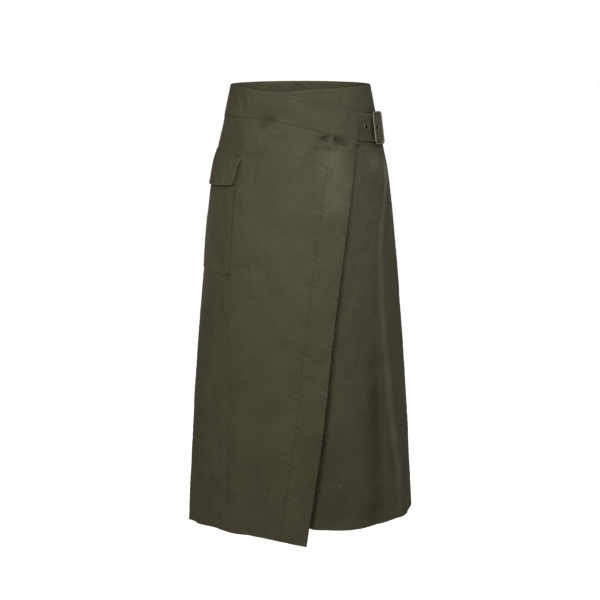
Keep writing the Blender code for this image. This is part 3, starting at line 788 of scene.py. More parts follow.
def twill_material(colour):
    """Cotton twill, piece-dyed, sewn and then washed.

    Its short nap scatters light so broadly that it has hardly any gloss, and rounded sides stay dark.
    Folded edges and seams have lost some dye in the wash, the rest has soft uneven clouds, and painted
    highlights and shade lie on its creases, folds and puckers.
    """
    material, shader, node = new_material(
        "cotton_twill_piece_dyed_washed", {"Roughness": 0.6, "IOR": 1.46, "Specular IOR Level": 0.03}
    )
    place = node("Attribute", {"attribute_name": "cloth"}).outputs["Vector"]
    worn = node("Attribute", {"attribute_name": "worn"}).outputs["Fac"]

    # Uneven dye: clouds about 60 mm across with a mottle of about 6 mm in them.
    clouds = node("TexNoise", inputs={"Vector": place, "Scale": 1 / 60, "Detail": 2.0}).outputs["Fac"]
    mottle = node("TexNoise", inputs={"Vector": place, "Scale": 1 / 6, "Detail": 3.0}).outputs["Fac"]
    dye = node("Math", {"operation": "MULTIPLY_ADD"}, {0: mottle, 1: 0.5, 2: clouds}).outputs[0]
    strength = node("MapRange", inputs={"Value": dye, "From Min": 0.45, "From Max": 1.05}).outputs[0]
    dyed = node("Mix", COLOUR_MIX, {0: strength, 6: shaded(colour, 0.92), 7: shaded(colour, 1.08)})

    # Abraded edges: the dye is gone in patches about 3 mm long.
    patches = node("TexNoise", inputs={"Vector": place, "Scale": 1 / 3, "Detail": 3.0}).outputs["Fac"]
    patchy = node("Math", {"operation": "MULTIPLY"}, {0: patches, 1: worn}).outputs[0]
    faded = node("Mix", COLOUR_MIX, {0: patchy, 6: dyed.outputs[2], 7: shaded(colour, 1.25)})
    # The "dye" attribute is painted light and shade: painted light makes it greyer as well as paler, and
    # painted shade makes it browner.
    shade = node("Attribute", {"attribute_name": "dye"}).outputs["Fac"]
    greyer = [share * channel for share, channel in zip((0.95, 1.02, 1.25), colour)]
    washed = node(
        "VectorMath", {"operation": "MULTIPLY_ADD"}, {0: shade, 1: greyer, 2: faded.outputs[2]}
    ).outputs[0]
    # The reverse of a twill has less of the dyed warp on its face, so it is paler; it is painted paler
    # still, as painted light in the shaded inside.
    reverse = node("Attribute", {"attribute_name": "reverse"}).outputs["Fac"]
    both_faces = node("Mix", COLOUR_MIX, {0: reverse, 6: washed, 7: shaded(colour, 1.7)}).outputs[2]
    set_inputs(shader, {"Base Color": both_faces})

    # The twill's diagonal ribs are 0.5 mm apart on the real cloth, and are drawn 1 mm apart so that a
    # close view shows them. A diagonal band repeats each 0.444 / scale. Crinkles are about 11 mm across.
    ribs = node(
        "TexWave",
        {"wave_type": "BANDS", "bands_direction": "DIAGONAL"},
        {"Vector": place, "Scale": 0.444, "Distortion": 0.5, "Detail Scale": 1.5},
    ).outputs["Fac"]
    woven = node("Bump", inputs={"Strength": 0.4, "Distance": 0.1 * MM, "Height": ribs}).outputs["Normal"]
    crinkles = node(
        "TexNoise",
        inputs={"Vector": place, "Scale": 1 / 11, "Detail": 3.0, "Roughness": 0.5, "Distortion": 0.8},
    ).outputs["Fac"]
    crinkled = node(
        "Bump", inputs={"Strength": 1.0, "Distance": 1.3 * MM, "Height": crinkles, "Normal": woven}
    )
    set_inputs(shader, {"Normal": crinkled.outputs["Normal"]})
    return material


def thread_material(colour):
    """Spun polyester sewing thread, dyed to the cloth: rounder and a little glossier than the twill."""
    material, shader, node = new_material(
        "polyester_thread_spun_dyed", {"Roughness": 0.5, "IOR": 1.5, "Specular IOR Level": 0.3}
    )
    place = node("TexCoord").outputs["Object"]
    # Single fibres are too fine to show, so the colour varies from stitch to stitch, about 2 mm.
    strands = node(
        "TexNoise", inputs={"Vector": place, "Scale": 1 / (2 * MM), "Detail": 2.0}
    ).outputs["Fac"]
    dark, light = shaded(colour, 0.7), shaded(colour, 1.3)
    twisted = node("Mix", COLOUR_MIX, {0: strands, 6: dark, 7: light})
    set_inputs(shader, {"Base Color": twisted.outputs[2]})
    return material


def nickel_material(colour):
    """Zinc, die-cast and tumbled, plated with dark nickel.

    A grey metal with soft reflections. Tumbling leaves it cloudy, and its high edges have worn paler.
    """
    material, shader, node = new_material("zinc_diecast_dark_nickel_plated", {"Metallic": 1.0})
    place = node("TexCoord").outputs["Object"]
    worn = node("Attribute", {"attribute_name": "worn"}).outputs["Fac"]
    # Cloudy patches of about 3 mm, and tumbling marks of about 0.6 mm.
    clouds = node("TexNoise", inputs={"Vector": place, "Scale": 330.0, "Detail": 3.0}).outputs["Fac"]
    tumbled = node("TexNoise", inputs={"Vector": place, "Scale": 1600.0, "Detail": 3.0}).outputs["Fac"]
    wear_and_painted_light = node("Math", {"operation": "MULTIPLY", "use_clamp": True}, {0: clouds, 1: worn}).outputs[0]
    plated = node("Mix", COLOUR_MIX, {0: wear_and_painted_light, 6: shaded(colour, 1), 7: shaded(colour, 1.35)})
    set_inputs(shader, {"Base Color": plated.outputs[2]})
    dull = node("MapRange", inputs={"Value": clouds, "To Min": 0.36, "To Max": 0.6}).outputs[0]
    marked = node("Bump", inputs={"Strength": 0.3, "Distance": 0.05 * MM, "Height": tumbled})
    set_inputs(shader, {"Roughness": dull, "Normal": marked.outputs["Normal"]})
    return material


def brass_material(colour):
    """Brass, drawn thin and rolled, then antiqued: dark and brown, it only glints on its rolled crest."""
    material, shader, node = new_material(
        "brass_drawn_rolled_antiqued", {"Metallic": 1.0, "Roughness": 0.28}
    )
    place = node("TexCoord").outputs["Object"]
    worn = node("Attribute", {"attribute_name": "worn"}).outputs["Fac"]
    # The brown stays in patches about 1 mm across where the crest has been rubbed.
    stains = node("TexNoise", inputs={"Vector": place, "Scale": 1 / MM, "Detail": 2.0}).outputs["Fac"]
    wear_and_painted_light = node("Math", {"operation": "MULTIPLY"}, {0: stains, 1: worn}).outputs[0]
    brown, bright = shaded(colour, 0.8), shaded(colour, 2.2)
    antiqued = node("Mix", COLOUR_MIX, {0: wear_and_painted_light, 6: brown, 7: bright})
    set_inputs(shader, {"Base Color": antiqued.outputs[2]})
    return material


def floor_material():
    """Matt white studio paint, rolled on: it gives a plain white ground with no gloss."""
    material, shader, node = new_material(
        "studio_paint_matt_rolled", {"Roughness": 0.9, "Specular IOR Level": 0.1}
    )
    place = node("TexCoord").outputs["Object"]
    # The roller leaves broad streaks about 300 mm wide.
    streaks = node("TexNoise", inputs={"Vector": place, "Scale": 3.3, "Detail": 2.0}).outputs["Fac"]
    thin, thick = (shaded(rgb(paint), 1) for paint in ("f4f4f3", "f9f9f8"))
    painted = node("Mix", COLOUR_MIX, {0: streaks, 6: thin, 7: thick})
    set_inputs(shader, {"Base Color": painted.outputs[2]})
    return material


def finish_named(name):
    """The material of a finish, made once."""
    scene = bpy.context.scene
    finishes = {
        "twill": (twill_material, scene.skirt_cloth.twill_colour),
        "thread": (thread_material, scene.skirt_cloth.thread_colour),
        "nickel": (nickel_material, scene.skirt_metal.nickel_colour),
        "brass": (brass_material, scene.skirt_metal.brass_colour),
    }
    maker, colour = finishes[name]
    key = f"skirt_{name}"
    if key not in scene:
        scene[key] = maker(colour)
    return scene[key]


def add_piece(name, points, faces, finish, replaced=()):
    """Adds a mesh from points in mm. It rides on the body, and stands for the nodes that it replaces."""
    mesh = bpy.data.meshes.new(name)
    mesh.from_pydata((np.asarray(points).reshape(-1, 3) * MM).tolist(), [], faces)
    if mesh.validate():
        raise RuntimeError(f"{name} has faces that can't be used")
    mesh.shade_smooth()
    mesh.materials.append(finish_named(finish))
    piece = bpy.data.objects.new(name, mesh)
    bpy.context.scene.collection.objects.link(piece)
    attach(piece, BODY)
    if replaced:
        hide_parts(*replaced)
    return piece


def store(piece, name, values):
    """Keeps a number or a vector for each point, which the piece's material reads."""
    values = np.asarray(values, np.float32)
    kind = "FLOAT" if values.ndim == 1 else "FLOAT_VECTOR"
    attribute = piece.data.attributes.new(name, kind, "POINT")
    attribute.data.foreach_set("value" if values.ndim == 1 else "vector", values.ravel())


def bake(piece, outward=False):
    """Puts the result of a piece's modifiers in its mesh, and turns its faces outward if that is asked."""
    graph = bpy.context.evaluated_depsgraph_get()
    mesh = bpy.data.meshes.new_from_object(piece.evaluated_get(graph))
    piece.modifiers.clear()
    piece.data = mesh
    if outward:
        shape = bmesh.new()
        shape.from_mesh(mesh)
        bmesh.ops.recalc_face_normals(shape, faces=shape.faces)
        shape.to_mesh(mesh)
        shape.free()
    mesh.shade_smooth()


def wall_faces(filled):
    """The faces of a closed wall over the filled cells of a grid: outer and inner faces, and the rims."""
    rows, columns = filled.shape
    numbers = np.arange((rows + 1) * (columns + 1)).reshape(rows + 1, columns + 1)
    layer = numbers.size
    corners = numbers[1:, :-1], numbers[1:, 1:], numbers[:-1, 1:], numbers[:-1, :-1]
    outer = np.stack([corner[filled] for corner in corners], 1)
    faces = [outer, outer[:, ::-1] + layer]
    padded = np.pad(filled, 1)
    above = padded[:-1, 1:-1]
    below = padded[1:, 1:-1]
    left = padded[1:-1, :-1]
    right = padded[1:-1, 1:]
    for starts, ends, on_rim in (
        (numbers[:, :-1], numbers[:, 1:], below & ~above),
        (numbers[:, 1:], numbers[:, :-1], above & ~below),
        (numbers[1:], numbers[:-1], right & ~left),
        (numbers[:-1], numbers[1:], left & ~right),
    ):
        start = starts[on_rim]
        end = ends[on_rim]
        faces.append(np.stack([start, end, end + layer, start + layer], 1))
    return np.concatenate(faces).tolist()


def run_along(path):
    """How far along a path in mm each of its points lies."""
    return np.pad(np.cumsum(np.linalg.norm(np.diff(path, axis=0), axis=1)), (1, 0))


def ring_faces(rings, sides, closed=False):
    """The faces from each ring of points to the next, and from the last to the first if it is closed."""
    faces = []
    for number in range(rings if closed else rings - 1):
        first = number * sides
        second = (number + 1) % rings * sides
        for side in range(sides):
            after = (side + 1) % sides
            faces.append((first + side, second + side, second + after, first + after))
    return faces


def unit(vectors):
    return vectors / np.maximum(np.linalg.norm(vectors, axis=-1, keepdims=True), 1e-9)


def rounding(from_edge, thickness):
    """The share of a cloth's thickness that is left near its edge, which is folded round."""
    inward = np.clip(2 * from_edge / thickness, CUT_EDGE, 1)
    return np.sqrt(1 - (1 - inward) ** 2)


def store_wear_and_painted_light(piece, lying, from_edge, dye):
    """Keeps how both faces of a wall lie in the weave, where they are worn, and their painted light and
    shade.
    """
    lying = lying.reshape(-1, 3)
    store(piece, "cloth", np.concatenate([lying, lying + 30]))
    store(piece, "worn", np.tile(bell(from_edge, WORN_EDGE).ravel(), 2))
    # The "dye" attribute holds painted highlights and painted shade, with some worn crests.
    store(piece, "dye", np.tile(np.ravel(dye), 2))


Wall = namedtuple("Wall", "piece points outward")


def cloth(name, node, seed, grid, thickness, relief, wear_and_painted_light=0.0):
    """A closed shell of cloth with rounded edges. Its relief is added to the dents and creases, and its
    painted light and worn crests to the painted table.
    """
    foot = skin(grid.angle, grid.drop, 0)
    dents = crumple(foot) * bpy.context.scene.skirt_cloth.dent_depth / MM
    dents = dents * off_side_seams(grid.angle) * off_buckle(grid.angle, grid.drop)
    away = relief + dents + crease_rise(grid.angle, grid.drop)
    from_edge = np.minimum.reduce([grid.from_left, grid.from_right, grid.from_top, grid.from_bottom])
    half = thickness / 2 * rounding(from_edge, min(thickness, PRESSED_EDGE))
    middle = grid.out + thickness / 2 + away
    outer = skin(grid.angle, grid.drop, middle + half)
    inner = skin(grid.angle, grid.drop, middle - half)
    filled = np.ones((from_edge.shape[0] - 1, from_edge.shape[1] - 1), bool)
    piece = add_piece(name, np.stack([outer, inner]), wall_faces(filled), "twill", (node,))
    lying = np.stack([grid.from_left, grid.from_top, 0 * from_edge + 60 * seed], -1)
    # Painted light and shade from the table, with the piece's own painted highlights, shade and worn
    # crests.
    store_wear_and_painted_light(piece, lying, from_edge, crease_rise(grid.angle, grid.drop, PAINTED_LIGHT_AND_SHADE) + wear_and_painted_light)
    store(piece, "reverse", np.repeat([0.0, 1.0], from_edge.size))
    outward = unit(np.cross(np.gradient(outer, axis=0), np.gradient(outer, axis=1)))
    return Wall(piece, outer, outward)


def stitch_run(wall, rows, columns):
    """The starts, ends and outward directions of the stitches along a line of a wall's grid."""
    line = wall.points[rows, columns]
    outward = wall.outward[rows, columns]
    run = run_along(line)
    length = bpy.context.scene.skirt_cloth.stitch_length / MM
    starts = np.arange(STITCH_SPACE, run[-1] - length, length + STITCH_SPACE)

    def at(values, places):
        return np.stack([np.interp(places, run, values[:, axis]) for axis in range(3)], -1)

    return at(line, starts), at(line, starts + length), unit(at(outward, starts + length / 2))


def tack_run(wall, row, column, across=9.0, down=3.2, count=12):
    """A bar tack: short stitches side by side, which hold a corner."""
    centre = wall.points[row, column]
    outward = wall.outward[row, column]
    aside = unit(wall.points[row, column + 1] - wall.points[row, column - 1])
    along = np.cross(outward, aside)
    middles = centre + np.linspace(-across / 2, across / 2, count)[:, None] * aside + 0.25 * outward
    lean = 0.25 * aside
    return middles - along * down / 2 - lean, middles + along * down / 2 + lean, outward + 0 * middles


def sew(name, *runs):
    """Adds the sewing thread of a wall: each stitch is a short bowed bar whose ends sink into the cloth."""
    radius = bpy.context.scene.skirt_cloth.thread_radius / MM
    starts, ends, up = (np.concatenate(parts)[:, None] for parts in zip(*runs))
    shares = np.array([0.0, 0.18, 0.5, 0.82, 1.0])[:, None]
    lifts = np.array([-0.5, 0.45, 0.8, 0.45, -0.5])[:, None] * radius
    middles = mix(starts, ends, shares) + up * lifts
    aside = np.cross(up, unit(ends - starts))
    sides = 6
    turns = (2 * math.pi * np.arange(sides) / sides)[:, None]
    ring = np.cos(turns) * up[:, :, None] + np.sin(turns) * aside[:, :, None]
    points = middles[:, :, None] + radius * ring
    rings = len(shares)
    last = (rings - 1) * sides
    faces = ring_faces(rings, sides) + [(0, 1, 2, 3), (0, 3, 4, 5)]
    faces += [(last + 3, last + 2, last + 1, last), (last + 5, last + 4, last + 3, last)]
    numbers = np.array(faces) + rings * sides * np.arange(len(points))[:, None, None]
    return add_piece(name, points, numbers.reshape(-1, 4).tolist(), "thread")


def sew_down(wall, held, rests_on, *runs):
    thread = sew(wall.piece.name.removesuffix("_cloth") + "_stitches", *runs)


def panel_spot(left, right, top, bottom, stand=lambda angle, drop: 0.0):
    """A function for the places of a panel between its four edges."""

    def spot(across, down):
        angle, drop = between(across, down, left, right, top, bottom)
        return angle, drop, stand(angle, drop)

    return spot


def hem_relief(grid, seed):
    """A hem that is turned up and sewn: its cloth is double below the line."""
    doubled = HEM_DOUBLED * ease((HEM_LINE - grid.from_bottom) / 3)
    line = sewn("hem", grid.from_bottom - HEM_LINE, grid.from_left, seed)
    return doubled + line + gathered("hem_edge", grid.from_bottom, grid.from_left, seed + 1)


def seam_relief(grid, seed):
    """The puckers along the seams at a panel's two sides and top."""
    relief = gathered("side_seam", grid.from_left, grid.from_top, seed)
    relief = relief + gathered("side_seam", grid.from_right, grid.from_top, seed + 1)
    relief = relief + gathered("top_seam", grid.from_top, grid.from_left, seed + 2)
    return relief * off_pocket(grid.angle, grid.drop)


class SKIRT_OT_panels(bpy.types.Operator):
    """Makes the upper front, the under front and the back, with their hems"""

    bl_idname = "skirt.panels"
    bl_label = "Panels"

    def execute(self, context):
        everywhere = slice(None)
        top, bottom = level(LAP_BAND_SEAM, SEWN_GAP), level(LAP_HEM)
        spot = panel_spot(side_seam(-90, 1), wrap_edge, top, bottom, lap_stand)
        grid = lay_out(spot, FRONT_GRID, (-FACING_LINE,), (-HEM_LINE,))
        facing = sewn("facing", grid.from_right - FACING_LINE, grid.from_top, 4)
        edge = gathered("wrap_edge", grid.from_right, grid.from_top, 5)
        hem = hem_relief(grid, 6)
        doubled = FACING_DOUBLED * ease((FACING_LINE - grid.from_right) / 3)
        relief = facing + edge + doubled + hem + seam_relief(grid, 8)
        # Painted highlights and shade on the puckers of the facing's line and of the wrap's edge; paler hem
        # crests, partly wear and partly a painted highlight.
        wear_and_painted_light = FACING_PAINTED_SHADING * facing + WRAP_EDGE_PAINTED_SHADING * edge + crest_wear_and_highlight(hem - HEM_DOUBLED)
        wall = cloth("overlap_cloth", "front_overlap", 1, grid, PANEL_CLOTH, relief, wear_and_painted_light)
        facing_run = stitch_run(wall, everywhere, grid.columns[-FACING_LINE])
        hem_run = stitch_run(wall, grid.rows[-HEM_LINE], everywhere)
        sew_down(wall, "hung", ["overlap_band", "underlap_cloth"], facing_run, hem_run)

        top, bottom = level(UNDER_BAND_SEAM, SEWN_GAP), level(UNDER_HEM)
        spot = panel_spot(under_edge, side_seam(90, -1), top, bottom)
        grid = lay_out(spot, FRONT_GRID, (), (-HEM_LINE,))
        # The hip's ridge, with a painted highlight along its side.
        ridge, wear_and_painted_light = hip_ridge(grid.angle, grid.drop)
        hem = hem_relief(grid, 11)
        relief = hem + seam_relief(grid, 13) + ridge - edge_hollow(grid.angle, grid.drop)
        # Paler hem crests: partly wear, partly a painted highlight.
        wear_and_painted_light = wear_and_painted_light + crest_wear_and_highlight(hem - HEM_DOUBLED)
        wall = cloth("underlap_cloth", "front_underlap", 2, grid, PANEL_CLOTH, relief, wear_and_painted_light)
        sew_down(wall, "hung", ["underlap_band"], stitch_run(wall, grid.rows[-HEM_LINE], everywhere))

        top, bottom = level(BACK_BAND_SEAM, SEWN_GAP), level(BACK_HEM)
        spot = panel_spot(side_seam(90, 1), side_seam(270, -1), top, bottom)
        grid = lay_out(spot, BACK_GRID, (), (-HEM_LINE,))
        hem = hem_relief(grid, 16)
        relief = hem + seam_relief(grid, 18)
        # Paler hem crests: partly wear, partly a painted highlight.
        wear_and_painted_light = crest_wear_and_highlight(hem - HEM_DOUBLED)
        wall = cloth("back_cloth", "back_panel", 3, grid, PANEL_CLOTH, relief, wear_and_painted_light)
        sew_down(wall, "hung", ["back_band"], stitch_run(wall, grid.rows[-HEM_LINE], everywhere))
        return {"FINISHED"}


def strap_angle(along):
    """The angle of a place on the strap, this far along it from the centre bar, towards the back."""
    step = np.linalg.norm(
        skin(BUCKLE_ANGLE + 0.5, BUCKLE_DROP, 0) - skin(BUCKLE_ANGLE - 0.5, BUCKLE_DROP, 0)
    )
    return BUCKLE_ANGLE + along / step


def half_window():
    """From the middle of the centre bar to the middle of a side bar."""
    return BUCKLE_WIDTH / 2 - BUCKLE_BAR


def strap_stand(angle):
    """How far out the strap's inner face lies: it goes under, over and under the bars of the buckle."""
    along = (angle - BUCKLE_ANGLE) / (strap_angle(1) - BUCKLE_ANGLE)
    stand = lap_stand(np.minimum(angle, STRAP_LEAVES), WRAP_EDGE[0].drop)
    before = ease((-along - half_window()) / STRAP_FADES)
    behind = ease((along - TAB_LENGTH - 2) / STRAP_FADES)
    held = 1 - np.where(along < 0, before, behind)
    lift = mix(STRAP_BEFORE, STRAP_BEHIND, ease(along / STRAP_HUMP))
    hump = STRAP_OVER * (1 + np.cos(math.pi * np.clip(along / STRAP_HUMP, -1, 1))) / 2
    return stand + lift * held + hump, held


def strap_spot(angle, down):
    """A place on the upper front's band, or on the strap that it runs on into."""
    drop = mix(follow(LAP_BAND_TOP, angle), follow(LAP_BAND_SEAM, angle), down)
    squared = ease((angle - STRAP_LEAVES) / (strap_angle(-half_window()) - STRAP_LEAVES))
    stand, held = strap_stand(angle)
    tilt = BUCKLE_TILT * held * (BUCKLE_DROP + TILT_FOOT - drop)
    return angle + STRAP_LEAN * squared * (BUCKLE_DROP - drop), drop, stand + tilt


def eyelet_place(along):
    """The middle of the strap's wall at an eyelet in mm, and the direction straight out of the wall."""

    def middle(place, down):
        angle, drop, out = strap_spot(strap_angle(place), down)
        return skin(angle, drop, out + BAND_CLOTH / 2)

    onward = middle(along + 1.5, 0.5) - middle(along - 1.5, 0.5)
    up = middle(along, 0.45) - middle(along, 0.55)
    return middle(along, 0.5), unit(np.cross(onward, up))


def cut_eyelet_holes(strap):
    """Cuts the two round holes that the eyelets' barrels go through."""
    for number, along in enumerate((FAR_EYELET, NEAR_EYELET), 1):
        centre, out = eyelet_place(along)
        shape = bmesh.new()
        radius = (EYELET_HOLE + EYELET_WALL + SEAM_GAP) * MM
        bmesh.ops.create_cone(
            shape,
            cap_ends=True,
            segments=32,
            radius1=radius,
            radius2=radius,
            depth=4 * BAND_CLOTH * MM,
        )
        mesh = bpy.data.meshes.new(f"eyelet_punch_{number}")
        shape.to_mesh(mesh)
        shape.free()
        punch = bpy.data.objects.new(mesh.name, mesh)
        bpy.context.scene.collection.objects.link(punch)
        turned_out = Vector(out).to_track_quat("Z", "Y").to_matrix().to_4x4()
        punch.matrix_world = Matrix.Translation(Vector(centre * MM)) @ turned_out
        cut = strap.modifiers.new(punch.name, "BOOLEAN")
        cut.object = punch
        cut.operation = "DIFFERENCE"
        cut.solver = "EXACT"
        bake(strap)
        bpy.data.objects.remove(punch)


class SKIRT_OT_waistbands(bpy.types.Operator):
    """Makes the three lengths of waistband, with the strap that the upper front's band runs on into"""

    bl_idname = "skirt.waistbands"
    bl_label = "Waistbands"

    def execute(self, context):
        def overlap_spot(across, down):
            return strap_spot(mix(-90 - SEAM_LAP, strap_angle(STRAP_TAIL), across), down)

        under = panel_spot(under_edge, side_seam(90, -1), level(UNDER_BAND_TOP), level(UNDER_BAND_SEAM))
        back = panel_spot(
            side_seam(90, 1), side_seam(270, -1), lambda angle: 0 * angle, level(BACK_BAND_SEAM)
        )
        bands = (
            ("underlap_band", "waistband_underlap", under, ["underlap_cloth"]),
            ("back_band", "waistband_back", back, ["underlap_band", "overlap_band"]),
            ("overlap_band", "waistband_overlap", overlap_spot, ["underlap_band", "back_band"]),
        )
        for seed, (name, node, spot, rests_on) in enumerate(bands, 4):
            grid = lay_out(spot, BAND_GRID, (), (BAND_LINE, -SEAM_LINE))
            relief = sewn("band_top", grid.from_top - BAND_LINE, grid.from_left, 3 * seed)
            relief = relief + sewn("band_seam", grid.from_bottom - SEAM_LINE, grid.from_left, 5 * seed)
            relief = relief * off_buckle(grid.angle, grid.drop)
            wall = cloth(name, node, seed, grid, BAND_CLOTH, relief)
            runs = [stitch_run(wall, grid.rows[BAND_LINE], slice(None))]
            if name == "overlap_band":
                cut_eyelet_holes(wall.piece)
                runs.append(stitch_run(wall, grid.rows[-SEAM_LINE], slice(None)))
            sew_down(wall, "stretched", rests_on, *runs)
        return {"FINISHED"}


def bag_swell(angle, drop):
    """How far the bag's wall stands off the panel: closed at its sides and bottom, open at its mouth."""
    across = (angle - BAG_BACK) / (BAG_FRONT - BAG_BACK)
    down = (drop - BAG_TOP) / (BAG_BOTTOM - BAG_TOP)
    return BAG_SWELL * ease(np.minimum(across, 1 - across) / 0.16) * ease((1 - down) / 0.3)


def on_panel(angle, drop):
    return lap_stand(angle, drop) + PANEL_CLOTH + SEAM_GAP


def bag_spot(across, down):
    angle = mix(BAG_BACK, BAG_FRONT, across)
    drop = mix(BAG_TOP, follow(BAG_HEM, angle), down)
    return angle, drop, on_panel(angle, drop) + bag_swell(angle, drop)


def flap_spot(across, down):
    taper = FLAP_TAPER * down
    angle = mix(FLAP_BACK + taper, FLAP_FRONT - taper, across)
    from_side = np.minimum(across, 1 - across) * (FLAP_FRONT - FLAP_BACK)
    top = follow(FLAP_TOP, angle)
    edge = follow(FLAP_HEM, angle) - FLAP_CORNER * (1 - ease(from_side / 4)) * ease(down)
    drop = mix(top, edge, down)
    over_bag = ease((drop - top) / (BAG_TOP - top))
    clear = BAG_CLOTH + 2.4 * SEAM_GAP + bag_swell(angle, BAG_TOP) + FLAP_SWELL * ease((down - 0.3) / 0.7)
    return angle, drop, on_panel(angle, drop) + over_bag * clear


class SKIRT_OT_pocket(bpy.types.Operator):
    """Makes the cargo pocket's bag and its flap, across the side seam"""

    bl_idname = "skirt.pocket"
    bl_label = "Cargo Pocket"

    def execute(self, context):
        line = BAG_LINE
        grid = lay_out(bag_spot, BAG_GRID, (line, -line), (-line,))
        from_side = np.minimum(grid.from_left, grid.from_right)
        relief = sewn("bag_side", from_side - line, grid.from_top, 21)
        relief = relief + sewn("bag_bottom", grid.from_bottom - line, grid.from_left, 22)
        slack = 0.3 * ease((from_side - 4) / 14)
        relief = relief + slack * uneven(grid.from_left + 0.3 * grid.from_top, 46, 23)
        # The flap's free edge presses the bag in, and a painted shadow lies on the bag under it.
        below_flap = grid.drop - follow(FLAP_HEM, grid.angle) - 2
        relief = relief - FLAP_PRESS * bell(below_flap, 3)
        painted_flap_shadow = -FLAP_PAINTED_LIGHT_AND_SHADOW * bell(below_flap + 0.5, 2.2)
        wall = cloth("pocket_bag", "cargo_pocket", 7, grid, BAG_CLOTH, relief, painted_flap_shadow)
        low, back, front = grid.rows[-line], grid.columns[line], grid.columns[-line]
        sew_down(
            wall,
            "hung",
            ["overlap_cloth", "back_cloth"],
            stitch_run(wall, slice(0, low), back),
            stitch_run(wall, low, slice(back, front)),
            stitch_run(wall, slice(0, low), front),
            tack_run(wall, low - 3, front - 3),
            tack_run(wall, low - 3, back + 3),
        )

        line = FLAP_LINE
        grid = lay_out(flap_spot, FLAP_GRID, (line, -line), (line, -line))
        from_side = np.minimum(grid.from_left, grid.from_right)
        relief = sewn("flap_side", from_side - line, grid.from_top, 24)
        relief = relief + sewn("flap_top", grid.from_top - line, grid.from_left, 25)
        relief = relief + sewn("flap_edge", grid.from_bottom - line, grid.from_left, 26)
        free_edge = np.minimum(from_side, grid.from_bottom)
        relief = relief + FLAP_LIP * ease(1 - free_edge / 9) * ease(grid.from_top / 30)
        # A painted highlight along the flap's free edge.
        wear_and_painted_light = FLAP_PAINTED_LIGHT_AND_SHADOW * bell(free_edge - 0.6, 1.2)
        wall = cloth("pocket_flap", "cargo_flap", 8, grid, FLAP_CLOTH, relief, wear_and_painted_light)
        top, low, back, front = grid.rows[line], grid.rows[-line], grid.columns[line], grid.columns[-line]
        sew_down(
            wall,
            "hung",
            ["overlap_cloth", "back_cloth", "pocket_bag"],
            stitch_run(wall, top, slice(None)),
            stitch_run(wall, slice(top, low), back),
            stitch_run(wall, low, slice(back, front)),
            stitch_run(wall, slice(top, low), front),
        )
        return {"FINISHED"}


def buckle_place():
    """The middle of the buckle's foot in mm, and its three directions: along the strap, up and out."""
    foot = skin(BUCKLE_ANGLE, BUCKLE_DROP, BAND_CLOTH)
    along = unit(skin(BUCKLE_ANGLE + 1, BUCKLE_DROP, 0) - skin(BUCKLE_ANGLE - 1, BUCKLE_DROP, 0))
    up = skin(BUCKLE_ANGLE, BUCKLE_DROP - 1, 0) - skin(BUCKLE_ANGLE, BUCKLE_DROP + 1, 0)
    out = unit(np.cross(along, up))
    straight = np.stack([along, np.cross(out, along), out])
    leaning = Matrix.Rotation(-BUCKLE_SLOPE, 3, "Z") @ Matrix.Rotation(BUCKLE_TILT, 3, "X")
    return foot + BUCKLE_TILT * TILT_FOOT * out, np.array(leaning).T @ straight


def set_in(points):
    """Points that are given in the buckle's own directions, put where the buckle is."""
    foot, directions = buckle_place()
    return foot + np.asarray(points) @ directions


def smooth_path(points, parts):
    """A smooth curve through points, with this many parts between two of them."""
    points = np.asarray(points, float)
    padded = np.concatenate([[2 * points[0] - points[1]], points, [2 * points[-1] - points[-2]]])
    share = np.arange(parts)[:, None] / parts
    pieces = [
        curve(first, second, (second - before) / 2, (after - first) / 2, share)
        for before, first, second, after in zip(padded, padded[1:], padded[2:], padded[3:])
    ]
    return np.concatenate([*pieces, points[-1:]])


def sweep(path, across, radii, sides, closed=False, broad=1.0):
    """The points and faces of a bar along a path in a plane, square to the direction across.

    It is round, or this much broader in the plane than it is high.
    """
    if closed:
        onward = np.roll(path, -1, axis=0) - np.roll(path, 1, axis=0)
    else:
        onward = np.gradient(path, axis=0)
    sideways = broad * np.cross(unit(onward), across)
    turns = (2 * math.pi * np.arange(sides) / sides)[:, None]
    ring = np.cos(turns) * sideways[:, None] + np.sin(turns) * across
    points = path[:, None] + np.reshape(radii, (-1, 1, 1)) * ring
    faces = [(first, *others[::-1]) for first, *others in ring_faces(len(path), sides, closed)]
    if not closed:
        last = (len(path) - 1) * sides
        faces += [tuple(range(sides)), tuple(range(last, last + sides))]
    return points.reshape(-1, 3), faces


def wear_high(piece, low, high):
    """Rubs the plating where a piece stands furthest out of the strap, from one height to another in mm."""
    foot, directions = buckle_place()
    points = np.array([vertex.co for vertex in piece.data.vertices]) / MM
    store(piece, "worn", ease(((points - foot) @ directions[2] - low) / (high - low)))


